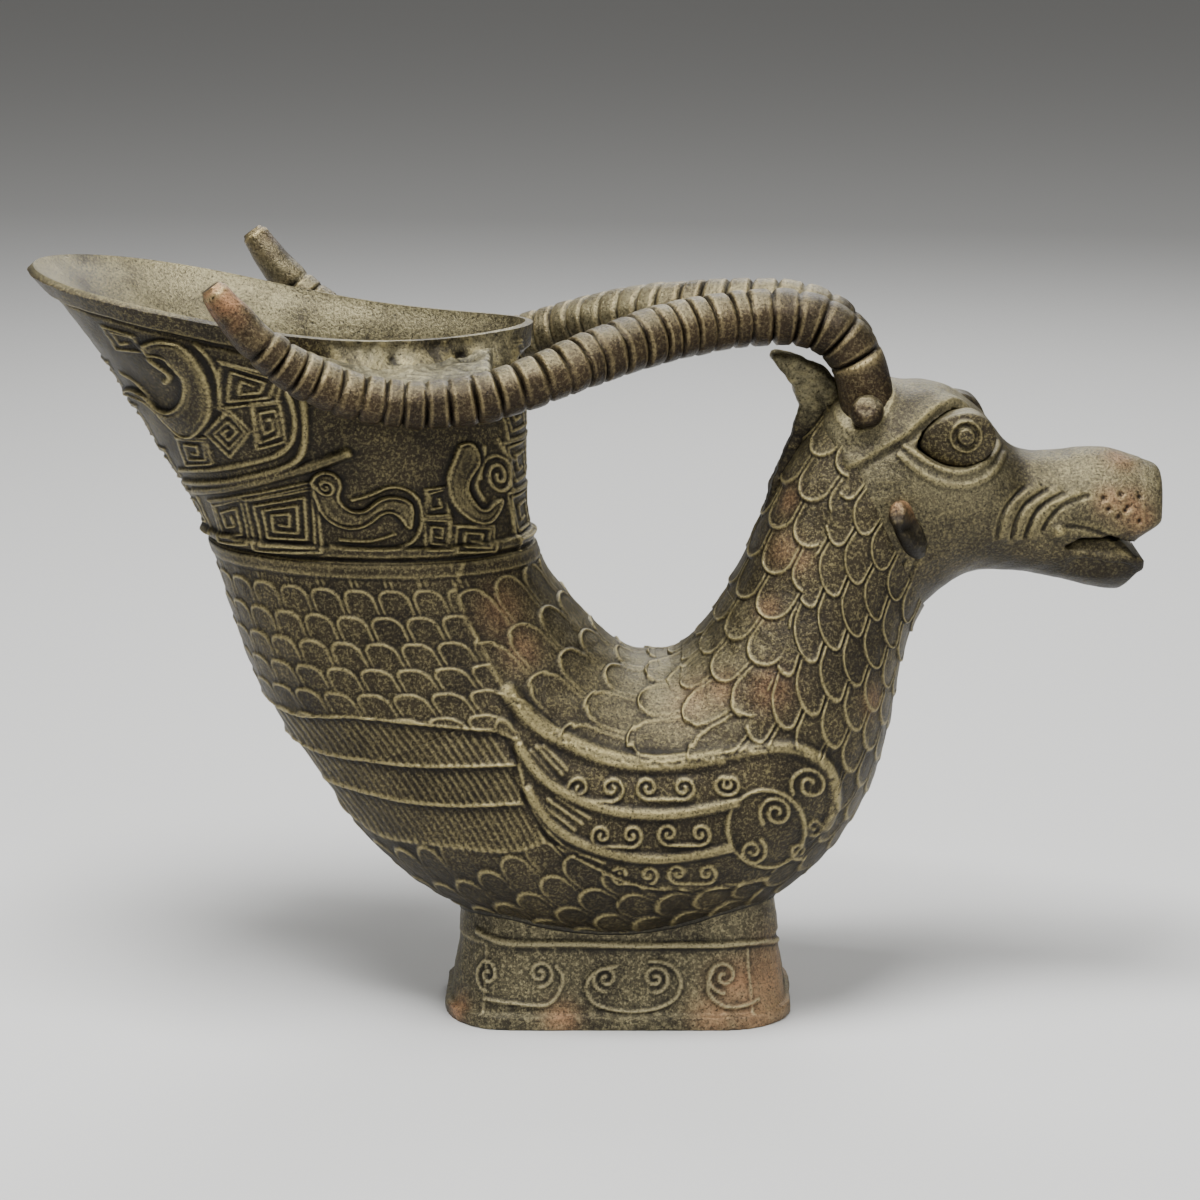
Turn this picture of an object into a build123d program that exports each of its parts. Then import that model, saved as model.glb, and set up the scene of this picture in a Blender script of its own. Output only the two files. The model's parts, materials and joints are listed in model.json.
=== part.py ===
"""Cast-bronze beast-head cup with two ribbed horn handles on an oval foot. Lengths in mm.

The frame's origin is the centre of the foot's underside; +X runs to the beast's muzzle, +Z is up
and +Y is the beast's left. Points written (x, z) lie in the vessel's mid-plane, and their z is
measured up from the foot's seat, so that a taller foot lifts everything that stands on it.
"""
import os
from math import cos, hypot, pi, sin, sqrt
from typing import NamedTuple

from build123d import *

# Foot: a hollow ring that flares to the table.
FOOT_HEIGHT = 17.0
FOOT_LENGTH = 58.4
FOOT_DEPTH = 33.0
FOOT_TOP_LENGTH = 52.6
FOOT_TOP_DEPTH = 28.6
FOOT_CORNER = 11.0
FOOT_WALL = 3.4
FOOT_RIM_HEIGHT = 2.4
FOOT_RIM_PROUD = 0.7

# Vessel: half-widths of its cross-sections, from the mouth, round the belly, to the neck joint.
WALL = 2.8
RIM_HALF_WIDTH = 26.8
LIP_HALF_WIDTH = 23.4
WAIST_HALF_WIDTH = 21.2
COLLAR_HALF_WIDTH = 20.2
FLANK_HALF_WIDTH = 21.4
BELLY_HALF_WIDTH = 23.0
LOW_HALF_WIDTH = 24.0
KEEL_HALF_WIDTH = 24.0
RUMP_HALF_WIDTH = 23.0
BREAST_HALF_WIDTH = 21.0
NAPE_HALF_WIDTH = 18.2
NECK_HALF_WIDTH = 15.8
THROAT_HALF_WIDTH = 14.4
JOINT_HALF_WIDTH = 13.8
RIM_SWELL = 0.30
LIP_SWELL = 0.26
WAIST_SWELL = 0.14
RIM_LINE = (
    (-112.0, 114.4), (-98.2, 112.0), (-82.0, 109.2), (-66.0, 106.2),
    (-46.0, 102.8), (-30.0, 101.8), (-15.0, 102.3), (-4.0, 103.2),
)

# Raised work that is cast with the vessel.
RELIEF = 0.8
LIP_BAND = 3.6
COLLAR_BAND = 4.6
WING_OUTLINE = (
    (-17.5, 38.0), (-9.0, 31.5), (3.0, 27.0), (15.0, 27.5), (27.0, 29.5), (35.0, 26.5),
    (37.0, 19.0), (31.0, 12.5), (20.0, 9.5), (6.0, 9.0), (-6.0, 13.0), (-14.0, 21.5),
)
RIDGE_WIDTH = 1.7
RIDGES = (
    ((-57.0, 38.2), (-46.5, 38.6), (-36.3, 38.6), (-21.0, 37.1)),
    ((-52.0, 31.2), (-43.0, 31.2), (-35.6, 31.1), (-17.0, 31.7)),
    ((-46.0, 25.0), (-37.5, 24.5), (-31.5, 24.3), (-16.0, 25.1)),
    ((-72.5, 74.3), (-63.1, 77.6), (-50.4, 81.8), (-44.7, 84.1)),
    ((-52.3, 93.0), (-52.0, 87.6), (-53.6, 84.6), (-57.9, 82.2), (-64.3, 80.9), (-72.0, 79.0)),
    ((-27.0, 59.0), (-24.7, 53.7), (-21.4, 47.5), (-18.6, 43.3)),
)
HOOK_WIDTH = 2.8
HOOKS = (
    ((-76.8, 100.1), (-73.5, 101.3), (-70.0, 100.3), (-67.8, 97.1), (-67.9, 93.0), (-70.2, 89.5),
     (-73.9, 88.2), (-77.2, 89.7), (-80.5, 92.5)),
    ((-47.7, 78.9), (-49.6, 76.7), (-47.9, 73.1), (-44.6, 71.4), (-41.2, 73.1), (-38.4, 74.8),
     (-35.6, 74.5), (-34.5, 72.5)),
    ((-24.6, 85.4), (-26.3, 81.1), (-27.2, 77.8), (-26.3, 73.9), (-23.6, 71.4), (-21.0, 72.8)),
)
WING_RIDGES = (
    ((-18.6, 43.3), (-14.8, 38.6), (-9.8, 35.2), (-0.9, 31.6), (7.9, 30.9), (16.9, 32.2), (25.8, 33.9),
     (30.2, 33.3), (34.5, 29.9)),
    ((-16.7, 34.8), (-13.1, 29.8), (-6.5, 25.6), (1.8, 23.4), (10.1, 23.3), (19.2, 25.1)),
    ((-15.1, 27.6), (-11.2, 21.7), (-4.9, 17.9), (3.4, 15.9), (11.8, 16.1), (18.1, 17.5)),
)

# Head: a separate casting whose spigot fills the top of the neck.
SPIGOT_LENGTH = 5.0
SPIGOT_CLEARANCE = 0.15
POLL_HALF_WIDTH = 14.2
CROWN_HALF_WIDTH = 14.3
BROW_HALF_WIDTH = 13.8
STOP_HALF_WIDTH = 12.2
BRIDGE_HALF_WIDTH = 10.4
MUZZLE_HALF_WIDTH = 9.5
NOSE_HALF_WIDTH = 9.3
TIP_HALF_WIDTH = 8.2
FACE_HALF_WIDTH = 6.2
MOUTH_CORNER = (73.8, 65.2)
MOUTH_GAPE = 3.2
CHIN = (84.5, 56.4)
JAW_TIP = (88.2, 61.8)

# Set-in eyes and ears.
EYE_OUTLINE = ((49.6, 83.2), (54.4, 88.2), (60.0, 88.2), (62.4, 84.2), (58.6, 79.9), (53.2, 80.4))
EYE_DEPTH = 4.5
EYE_PROUD = 1.4
EYE_DOME = 16.0
PUPIL_RADIUS = 2.0
PUPIL_CENTRE = (57.2, 85.0)
EAR_CENTRE = (50.4, 66.6)
EAR_AIM = (-0.42, -0.70, 0.56)
EAR_PROFILE = ((0, 0.8, 1.0), (0.45, 1.0, 1.0), (0.8, 0.8, 0.85), (1, 0.5, 0.6))
EAR_LENGTH = 7.6
EAR_WIDTH = 7.8
EAR_THICK = 3.4
EAR_TENON_RADIUS = 1.2
EAR_TENON_DEPTH = 4.0
SEAT_CLEARANCE = 0.1

# Horns: ribbed rods that leave the skull, arch back and run along the cup under its lip.
HORN_ROOT = (41.6, 86.0)
HORN_ROOT_Y = 5.3
HORN_ARCH = ((40.8, 92.4), (38.5, 98.2), (34.8, 101.8), (29.6, 103.6), (22.4, 103.8), (13.3, 103.0))
HORN_ARCH_Y = (5.3, 5.3, 5.3, 5.5, 6.4, 9.2)
HORN_RUN = ((-4.5, 99.3), (-16.7, 95.3), (-30.4, 93.1), (-46.3, 96.3), (-57.0, 103.6), (-64.7, 113.4))
HORN_RUN_OUT = (-7.0, -1.6, 1.4, 3.7, 6.2, 8.2)
HORN_RADIUS_ARCH = 4.8
HORN_RADIUS_RUN = 4.1
HORN_RADIUS_TIP = 1.8
HORN_RIBS = 27
HORN_GROOVE = 0.6
RIB_PROFILE = ((0.0, 1.0), (0.24, 0.0), (0.76, 0.0))
HORN_FACETS = 12
HORN_SMOOTH_ROOT = 15.0
HORN_SMOOTH_TIP = 15.0
TENON_RADIUS = 2.4
TENON_DEPTH = 6.0
PIN_CENTRE = (40.9, 88.9)
PIN_Y = 10.9
PIN_AIM = (0.18, 0.80, -0.57)
PIN_HEAD_RADIUS = 2.2
PIN_HEAD_HEIGHT = 2.6
PIN_RADIUS = 0.9
PIN_LENGTH = 7.5

# Mane crest between the horn roots.
CREST_THICK = 4.0
CREST_OUTLINE = (
    (22.6, 63.5), (25.2, 73.5), (29.2, 84.0), (30.9, 88.4), (29.6, 91.8), (27.4, 94.3),
    (25.8, 96.5), (29.4, 96.1), (34.0, 94.0), (37.2, 90.5), (38.0, 86.0), (31.0, 74.0), (25.5, 63.5),
)

# Filler metal at the foot seam and between horns and cup.
FOOT_BEAD = 0.9
WEB_STATIONS = (-21.0, -29.0, -37.0, -45.0, -52.0)
WEB_INSIDE = 6.0
WEB_DROP = 0.9
WEB_TOP = 0.55
WEB_BOTTOM = 0.3


class Section(NamedTuple):
    """A closed cross-section between two mid-plane points."""

    back: tuple
    front: tuple
    half_width: float
    swell: float = 0.0

    def outline(self, angle, grow=0.0):
        """The point of the section at an angle from its front end."""
        length = hypot(self.front[0] - self.back[0], self.front[1] - self.back[1])
        along = ((self.front[0] - self.back[0]) / length, (self.front[1] - self.back[1]) / length)
        middle = ((self.front[0] + self.back[0]) / 2, (self.front[1] + self.back[1]) / 2)
        reach = (length / 2 + grow) * cos(angle)
        width = (self.half_width * (1 + self.swell * cos(angle)) + grow) * sin(angle)
        return (middle[0] + along[0] * reach, width, up(middle[1] + along[1] * reach))

    def face(self, grow=0.0, count=14):
        """The section as a planar face, grown outward by an amount in its own plane."""
        points = [self.outline(2 * pi * index / count, grow) for index in range(count)]
        return Face(Wire([Spline(*points, periodic=True)]))

    def between(self, other, share):
        """The section a share of the way to another one."""
        def mix(a, b):
            return a + (b - a) * share
        return Section(
            tuple(mix(a, b) for a, b in zip(self.back, other.back)),
            tuple(mix(a, b) for a, b in zip(self.front, other.front)),
            mix(self.half_width, other.half_width),
            mix(self.swell, other.swell),
        )

    def middle(self):
        """The section's centre in the mid-plane."""
        return ((self.back[0] + self.front[0]) / 2, (self.back[1] + self.front[1]) / 2)

    def half_width_at(self, height):
        """The section's half-width at a height between its two ends."""
        share = (height - self.middle()[1]) / ((self.back[1] - self.front[1]) / 2)
        return self.half_width * sqrt(1 - share * share)


def up(height):
    """A height above the foot's seat, as a height above the table."""
    return FOOT_HEIGHT + height


# Each section runs from the back of the vessel, or the top of the head, to the front or the jaw.
RIM = Section((-14.6, 105.5), (-101.0, 115.5), RIM_HALF_WIDTH, RIM_SWELL)
LIP = Section((-15.7, 95.0), (-88.0, 99.5), LIP_HALF_WIDTH, LIP_SWELL)
WAIST = Section((-15.8, 82.0), (-77.5, 82.0), WAIST_HALF_WIDTH, WAIST_SWELL)
COLLAR = Section((-14.8, 64.5), (-69.0, 66.0), COLLAR_HALF_WIDTH)
FLANK = Section((-10.0, 56.0), (-63.2, 46.6), FLANK_HALF_WIDTH)
BELLY = Section((-3.0, 48.5), (-52.2, 26.2), BELLY_HALF_WIDTH)
LOW = Section((1.5, 45.2), (-36.2, 7.4), LOW_HALF_WIDTH)
KEEL = Section((5.0, 44.8), (-2.0, -5.0), KEEL_HALF_WIDTH)
RUMP = Section((9.5, 45.3), (31.5, 7.1), RUMP_HALF_WIDTH)
BREAST = Section((14.0, 48.8), (43.0, 23.4), BREAST_HALF_WIDTH)
NAPE = Section((18.9, 56.1), (46.8, 39.5), NAPE_HALF_WIDTH)
NECK = Section((23.0, 65.0), (48.2, 46.5), NECK_HALF_WIDTH)
THROAT = Section((28.5, 77.5), (49.3, 50.0), THROAT_HALF_WIDTH)
JOINT = Section((34.5, 87.0), (51.0, 53.5), JOINT_HALF_WIDTH)
CUP_SECTIONS = (RIM, LIP, WAIST, COLLAR)
BIRD_SECTIONS = (COLLAR, FLANK, BELLY, LOW, KEEL, RUMP, BREAST, NAPE, NECK, THROAT, JOINT)

POLL = Section((40.2, 90.4), (54.0, 56.4), POLL_HALF_WIDTH)
CROWN = Section((46.0, 91.9), (57.4, 58.7), CROWN_HALF_WIDTH)
BROW = Section((54.0, 91.7), (60.8, 59.9), BROW_HALF_WIDTH)
STOP = Section((60.8, 87.0), (64.5, 60.0), STOP_HALF_WIDTH)
BRIDGE = Section((65.8, 81.4), (68.5, 59.5), BRIDGE_HALF_WIDTH)
MUZZLE = Section((73.0, 80.3), (74.5, 58.4), MUZZLE_HALF_WIDTH)
NOSE = Section((83.0, 80.6), (83.0, 56.6), NOSE_HALF_WIDTH)
TIP = Section((89.0, 78.6), (88.0, 58.0), TIP_HALF_WIDTH)
FACE = Section((91.3, 75.0), (90.6, 62.0), FACE_HALF_WIDTH)
HEAD_SECTIONS = (JOINT, POLL, CROWN, BROW, STOP, BRIDGE, MUZZLE, NOSE, TIP, FACE)

REACH = 2 * RIM_HALF_WIDTH


def mid(point, drop=0.0):
    """A mid-plane point (x, z) as a point in space, lowered by an amount."""
    return (point[0], 0, up(point[1]) - drop)


def side_slab(edges, near=-REACH, far=REACH):
    """A side-view outline, given as edges in the mid-plane, extruded across the vessel."""
    outline = Face(Wire(edges))
    return extrude(Pos(0, near, 0) * outline, amount=far - near, dir=(0, 1, 0))


def polygon_slab(points, near=-REACH, far=REACH):
    """A straight-sided side-view outline extruded across the vessel."""
    corners = [mid(point) for point in points]
    return side_slab(Polyline(*corners, close=True).edges(), near, far)


def rim_slab(top, bottom):
    """The space between the rim line lowered by two amounts."""
    upper = [mid(point, top) for point in RIM_LINE]
    lower = [mid(point, bottom) for point in RIM_LINE]
    return side_slab([Spline(*upper), Spline(*lower), Line(upper[0], lower[0]), Line(upper[-1], lower[-1])])


def section_slab(first, last, spare):
    """The space between the planes of two sections, with some to spare past their ends."""
    corners = []
    for section, order in ((first, (0, 1)), (last, (1, 0))):
        ends = (section.back, section.front)
        length = hypot(ends[1][0] - ends[0][0], ends[1][1] - ends[0][1])
        step = ((ends[1][0] - ends[0][0]) / length * spare, (ends[1][1] - ends[0][1]) / length * spare)
        stretched = [(end[0] + sign * step[0], end[1] + sign * step[1]) for end, sign in zip(ends, (-1, 1))]
        corners += [stretched[order[0]], stretched[order[1]]]
    return polygon_slab(corners)


def section_loft(sections, grow=0.0):
    """A smooth solid through sections that have all been grown by the same amount."""
    return loft([section.face(grow) for section in sections])


def vessel_shape(grow=0.0):
    """The closed outside of cup, belly and neck, still running up past the rim."""
    return section_loft(CUP_SECTIONS, grow) + section_loft(BIRD_SECTIONS, grow)


def both_sides(shape):
    """A shape on the -Y side together with its mirror image."""
    return shape + mirror(shape, about=Plane.XZ)


def wing_slabs():
    """The two wing outlines, one each side of the mid-plane."""
    ring = Spline(*[mid(point) for point in WING_OUTLINE], periodic=True)
    return both_sides(side_slab([ring], -REACH, -RELIEF))


def ribbon_slab(line, width):
    """A band along a side-view line, extruded over the right side."""
    left, right = [], []
    for index, point in enumerate(line):
        before, after = line[max(index - 1, 0)], line[min(index + 1, len(line) - 1)]
        half = width / 2 / hypot(after[0] - before[0], after[1] - before[1])
        step = ((before[1] - after[1]) * half, (after[0] - before[0]) * half)
        left.append((point[0] + step[0], point[1] + step[1]))
        right.append((point[0] - step[0], point[1] - step[1]))
    return polygon_slab(left + right[::-1], -REACH, -RELIEF)


def ribbon_slabs(lines, width):
    """Bands along several side-view lines, on both sides."""
    bands = ribbon_slab(lines[0], width)
    for line in lines[1:]:
        bands += ribbon_slab(line, width)
    return both_sides(bands)


def collar_slab():
    """The band that runs round the cup at the collar section."""
    half = COLLAR_BAND / 2
    slope = (COLLAR.front[1] - COLLAR.back[1]) / (COLLAR.front[0] - COLLAR.back[0])
    ends = (COLLAR.front[0] - REACH, COLLAR.back[0] + REACH / 4)
    heights = [COLLAR.back[1] + slope * (x - COLLAR.back[0]) for x in ends]
    return polygon_slab(
        [(ends[0], heights[0] - half), (ends[1], heights[1] - half),
         (ends[1], heights[1] + half), (ends[0], heights[0] + half)]
    )


def belly_rise(x, y):
    """About how high the belly's underside lies at a place over the foot."""
    end = LOW.front if x < KEEL.front[0] else RUMP.front
    share = (x - KEEL.front[0]) / (end[0] - KEEL.front[0])
    lift = 1 - sqrt(1 - min(y / KEEL.half_width, 1) ** 2)
    return KEEL.front[1] + (end[1] - KEEL.front[1]) * share ** 2 + (KEEL.back[1] - KEEL.front[1]) / 2 * lift


def foot_loft(shrink):
    """The foot's flaring block with its sides moved inward; it runs on up into the belly all round."""
    seat = FOOT_HEIGHT + FOOT_WALL
    ends = (-FOOT_TOP_LENGTH / 2, FOOT_TOP_LENGTH / 2)
    top = max(up(belly_rise(end, FOOT_TOP_DEPTH / 2)) for end in ends) + FOOT_WALL

    def ring(height):
        length = FOOT_LENGTH + (FOOT_TOP_LENGTH - FOOT_LENGTH) * height / seat
        depth = FOOT_DEPTH + (FOOT_TOP_DEPTH - FOOT_DEPTH) * height / seat
        sketch = RectangleRounded(length - 2 * shrink, depth - 2 * shrink, FOOT_CORNER - shrink)
        return Pos(0, 0, height) * sketch
    return loft([ring(0), ring(top)])


def horn_path():
    """The centre line of the right horn, from inside the skull to the tip."""
    points = [(HORN_ROOT[0], -HORN_ROOT_Y, up(HORN_ROOT[1]))]
    points += [(x, -y, up(z)) for (x, z), y in zip(HORN_ARCH, HORN_ARCH_Y)]
    points += [(x, -RIM_HALF_WIDTH - out, up(z)) for (x, z), out in zip(HORN_RUN, HORN_RUN_OUT)]
    return Spline(*points)


def horn_radius(share):
    """The horn's rib radius at a share of its length."""
    knots = (
        (0.0, HORN_RADIUS_ARCH), (0.38, HORN_RADIUS_ARCH), (0.58, HORN_RADIUS_RUN),
        (0.84, HORN_RADIUS_RUN * 0.92), (1.0, HORN_RADIUS_TIP),
    )
    for (start, a), (end, b) in zip(knots, knots[1:]):
        if share <= end:
            return a + (b - a) * (share - start) / (end - start)
    return HORN_RADIUS_TIP


def horn_rod():
    """The ribbed horn, still running into the skull: many-sided rings joined by ruled spans."""
    path = horn_path()
    first = HORN_SMOOTH_ROOT / path.length
    last = 1 - HORN_SMOOTH_TIP / path.length
    pitch = (last - first) / HORN_RIBS
    rings = [(0.0, 0.0), (first * 0.5, 0.0), (first * 0.96, 0.1)]
    for rib in range(HORN_RIBS):
        groove = first + rib * pitch
        rings += [(groove + part * pitch, depth) for part, depth in RIB_PROFILE]
    rings += [(last, 1.0), (last + 0.2 * pitch, 0.1), (last + 0.55 * (1 - last), 0.0), (1.0, 0.0)]
    faces = []
    for share, depth in rings:
        tangent = path.tangent_at(share)
        across = (Vector(0, 1, 0) - tangent * tangent.Y).normalized()
        plane = Plane(origin=path.position_at(share), x_dir=across, z_dir=tangent)
        faces.append((plane * RegularPolygon(horn_radius(share) - depth * HORN_GROOVE, HORN_FACETS)).face())
    return loft(faces, ruled=True)


def aimed_cylinder(start, aim, radius, length):
    """A cylinder from a point along a direction."""
    return extrude(Plane(origin=start, z_dir=aim) * Circle(radius), length)


def horn_tenon(spare=0.0):
    """The peg under the horn's root, grown by a clearance when it cuts the socket."""
    top = Vector(HORN_ARCH[0][0], -HORN_ARCH_Y[0], up(HORN_ARCH[0][1]))
    bottom = Vector(HORN_ROOT[0], -HORN_ROOT_Y, up(HORN_ROOT[1]))
    aim = (bottom - top).normalized()
    return aimed_cylinder(top, aim, TENON_RADIUS + spare, (bottom - top).length + TENON_DEPTH + spare)


def pin_centre():
    """The middle of the pin's round head."""
    return Vector(PIN_CENTRE[0], -PIN_Y, up(PIN_CENTRE[1]))


def pin_shank(spare=0.0):
    """The shank that runs through the skull into the horn's tenon."""
    return aimed_cylinder(pin_centre(), Vector(PIN_AIM), PIN_RADIUS + spare, PIN_LENGTH + spare)


def eye_outline(spare=0.0):
    """The eye's almond outline in the mid-plane, grown by a clearance for its socket."""
    centre = Vector(mid(PUPIL_CENTRE))
    rays = [Vector(mid(point)) - centre for point in EYE_OUTLINE]
    points = [centre + ray * (1 + spare / ray.length) for ray in rays]
    return Face(Wire([Spline(*points, points[0])]))


def eye_reach():
    """How far from the mid-plane the face lies at the pupil."""
    return BROW.half_width_at(PUPIL_CENTRE[1])


def eye_slab(inner, outer, spare=0.0):
    """The right eye's outline extruded between two distances from the mid-plane."""
    return extrude(Pos(0, -inner, 0) * eye_outline(spare), amount=outer - inner, dir=(0, -1, 0))


def ear_line():
    """Where the right ear's axis starts inside the cheek, and its direction."""
    start = Vector(EAR_CENTRE[0], EAR_THICK - POLL.half_width_at(EAR_CENTRE[1]), up(EAR_CENTRE[1]))
    return start, Vector(EAR_AIM).normalized()


def ear_rod():
    """The stub ear, still running into the cheek."""
    start, aim = ear_line()
    wide = Vector(0.3, 0, -1)
    wide = (wide - aim * wide.dot(aim)).normalized()
    faces = []
    for share, width, thick in EAR_PROFILE:
        plane = Plane(origin=start + aim * ((EAR_LENGTH + EAR_THICK) * share), x_dir=wide, z_dir=aim)
        faces.append((plane * Ellipse(EAR_WIDTH / 2 * width, EAR_THICK / 2 * thick)).face())
    return loft(faces)


def ear_tenon(spare=0.0):
    """The peg of the ear, grown by a clearance when it cuts the socket."""
    start, aim = ear_line()
    length = EAR_TENON_DEPTH + 2 * EAR_THICK + spare
    return aimed_cylinder(start + aim * 2 * EAR_THICK, aim * -1, EAR_TENON_RADIUS + spare, length)


def horn_at(x):
    """The point of the right horn's run at a given x, and its share of the horn's length."""
    path = horn_path()
    low, high = 0.5, 1.0
    for _ in range(30):
        half = (low + high) / 2
        low, high = (half, high) if path.position_at(half).X > x else (low, half)
    return path.position_at(low), low


def rim_height(x):
    """The rim's height above the table at a given x."""
    for (x0, z0), (x1, z1) in zip(RIM_LINE, RIM_LINE[1:]):
        if x <= x1:
            return up(z0 + (z1 - z0) * (x - x0) / (x1 - x0))
    return up(RIM_LINE[-1][1])


def web_block():
    """The filler's rough block between cup and horn, before both are cut out of it."""
    faces = []
    for x in WEB_STATIONS:
        centre, share = horn_at(x)
        radius = horn_radius(share)
        low = centre.Z - radius * WEB_BOTTOM
        corners = [(x, -WEB_INSIDE, rim_height(x) - WEB_DROP), (x, centre.Y, centre.Z + radius * WEB_TOP),
                   (x, centre.Y, low), (x, -WEB_INSIDE, low)]
        faces.append(Face(Polyline(*corners, close=True).wire()))
    return loft(faces, ruled=True)


OUTSIDE = vessel_shape()
RAISED = vessel_shape(RELIEF)
PROUD = vessel_shape(2 * RELIEF)
SKULL = section_loft(HEAD_SECTIONS)


def make_vessel_body():
    """The hollow casting: cup, belly and neck with its main bands, wings, ridges and hooks raised."""
    bands = rim_slab(0, LIP_BAND) + collar_slab() + wing_slabs()
    bands += ribbon_slabs(RIDGES, RIDGE_WIDTH) + ribbon_slabs(HOOKS, HOOK_WIDTH)
    wing_bands = ribbon_slabs(WING_RIDGES, RIDGE_WIDTH)
    outside = OUTSIDE + (RAISED & bands) + (PROUD & wing_bands)
    return outside - rim_slab(-REACH, 0) - vessel_shape(-WALL)


def make_foot_ring():
    """The hollow foot, cut to the belly's shape at its top."""
    rim = RectangleRounded(
        FOOT_LENGTH + 2 * FOOT_RIM_PROUD, FOOT_DEPTH + 2 * FOOT_RIM_PROUD, FOOT_CORNER + FOOT_RIM_PROUD
    )
    return (foot_loft(0) + extrude(rim, FOOT_RIM_HEIGHT)) - foot_loft(FOOT_WALL) - OUTSIDE


def make_foot_braze():
    """The bead of filler in the corner between foot and belly."""
    return (foot_loft(-FOOT_BEAD) & vessel_shape(FOOT_BEAD)) - foot_loft(0) - OUTSIDE


def make_head():
    """The beast's head with open mouth, neck spigot and the sockets of what is set into it."""
    joint, throat = JOINT.middle(), THROAT.middle()
    share = SPIGOT_LENGTH / hypot(joint[0] - throat[0], joint[1] - throat[1])
    plug = section_loft(BIRD_SECTIONS, -WALL - SPIGOT_CLEARANCE)
    spigot = plug & section_slab(JOINT.between(THROAT, share), JOINT, WALL)
    ahead = FACE.back[0] + MOUTH_GAPE
    corner_x, corner_z = MOUTH_CORNER
    gape = polygon_slab(
        [MOUTH_CORNER, (corner_x + MOUTH_GAPE, corner_z + MOUTH_GAPE * 0.6),
         (JAW_TIP[0] - MOUTH_GAPE, corner_z + MOUTH_GAPE * 0.6), (ahead, corner_z - MOUTH_GAPE * 0.1),
         (ahead, corner_z - MOUTH_GAPE * 0.6), (JAW_TIP[0] - MOUTH_GAPE, corner_z - MOUTH_GAPE * 0.45)]
    )
    chin = polygon_slab(
        [(JAW_TIP[0], corner_z), JAW_TIP, CHIN, (CHIN[0], CHIN[1] - WALL), (ahead, CHIN[1] - WALL),
         (ahead, corner_z)]
    )
    sockets = eye_slab(eye_reach() - EYE_DEPTH, REACH, SEAT_CLEARANCE) + ear_tenon(SEAT_CLEARANCE)
    pegs = horn_tenon(SEAT_CLEARANCE) + pin_shank(SEAT_CLEARANCE)
    return SKULL + spigot - gape - chin - both_sides(sockets) - both_sides(pegs)


def make_eye():
    """The right eye: an almond with a domed front and a raised pupil."""
    reach = eye_reach() + EYE_PROUD
    dome = Pos(PUPIL_CENTRE[0], EYE_DOME - reach, up(PUPIL_CENTRE[1])) * Sphere(EYE_DOME)
    pupil = Pos(PUPIL_CENTRE[0], PUPIL_RADIUS / 2 - reach, up(PUPIL_CENTRE[1])) * Sphere(PUPIL_RADIUS)
    return (eye_slab(eye_reach() - EYE_DEPTH, reach) & dome) + pupil


def make_ear():
    """The right ear with the peg that holds it in the cheek."""
    return (ear_rod() - SKULL) + ear_tenon()


def make_horn():
    """The right horn, cut to the skull, with its tenon."""
    return (horn_rod() - SKULL) + horn_tenon() - pin_shank(SEAT_CLEARANCE)


def make_pin():
    """The right horn's pin; its rounded head is bedded between horn and skull."""
    aim = Vector(PIN_AIM).normalized()
    knob = aimed_cylinder(pin_centre() - aim * (PIN_HEAD_HEIGHT / 2), aim, PIN_HEAD_RADIUS, PIN_HEAD_HEIGHT)
    knob = chamfer(knob.edges().filter_by(GeomType.CIRCLE), PIN_HEAD_HEIGHT / 4)
    return (knob - SKULL - horn_rod()) + pin_shank()


def make_crest():
    """The mane's fin between the horn roots, cut to the neck and the skull."""
    outline = Polyline(*[mid(point) for point in CREST_OUTLINE], close=True)
    fin = side_slab(outline.edges(), -CREST_THICK / 2, CREST_THICK / 2)
    return fin - OUTSIDE - SKULL - both_sides(horn_rod())


def make_horn_brazes():
    """The webs of filler metal from each horn to the cup under its lip, right one first."""
    lip = RAISED & rim_slab(0, LIP_BAND)
    webs = both_sides(web_block()) - OUTSIDE - lip - both_sides(horn_rod())
    return webs.solids().sort_by(Axis.Y)


def make_parts():
    """Every piece by name, the left ones as mirror images of the right."""
    right = {
        "horn": make_horn(),
        "horn_pin": make_pin(),
        "eye": make_eye(),
        "ear": make_ear(),
    }
    parts = {
        "vessel_body": make_vessel_body(),
        "foot_ring": make_foot_ring(),
        "foot_braze": make_foot_braze(),
        "head": make_head(),
        "mane_crest": make_crest(),
    }
    for name, shape in right.items():
        parts[f"{name}_right"] = shape
        parts[f"{name}_left"] = mirror(shape, about=Plane.XZ)
    parts["horn_braze_right"], parts["horn_braze_left"] = make_horn_brazes()
    return parts


os.makedirs("parts", exist_ok=True)
for part_name, part_shape in make_parts().items():
    export_step(part_shape, os.path.join("parts", f"{part_name}.step"))
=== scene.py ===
# %% [markdown]
# # A bronze beast-head cup, dressed in Blender
# The plain solids of the cup come in first, each already in its place. This lesson lays the cast
# relief over them, wall by wall, then paints the old patina and sets up a small photo table.
# Lengths are written in millimetres and turned into metres when a mesh is made.

# %% Load the solids
import contextlib
import json
import math

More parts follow.
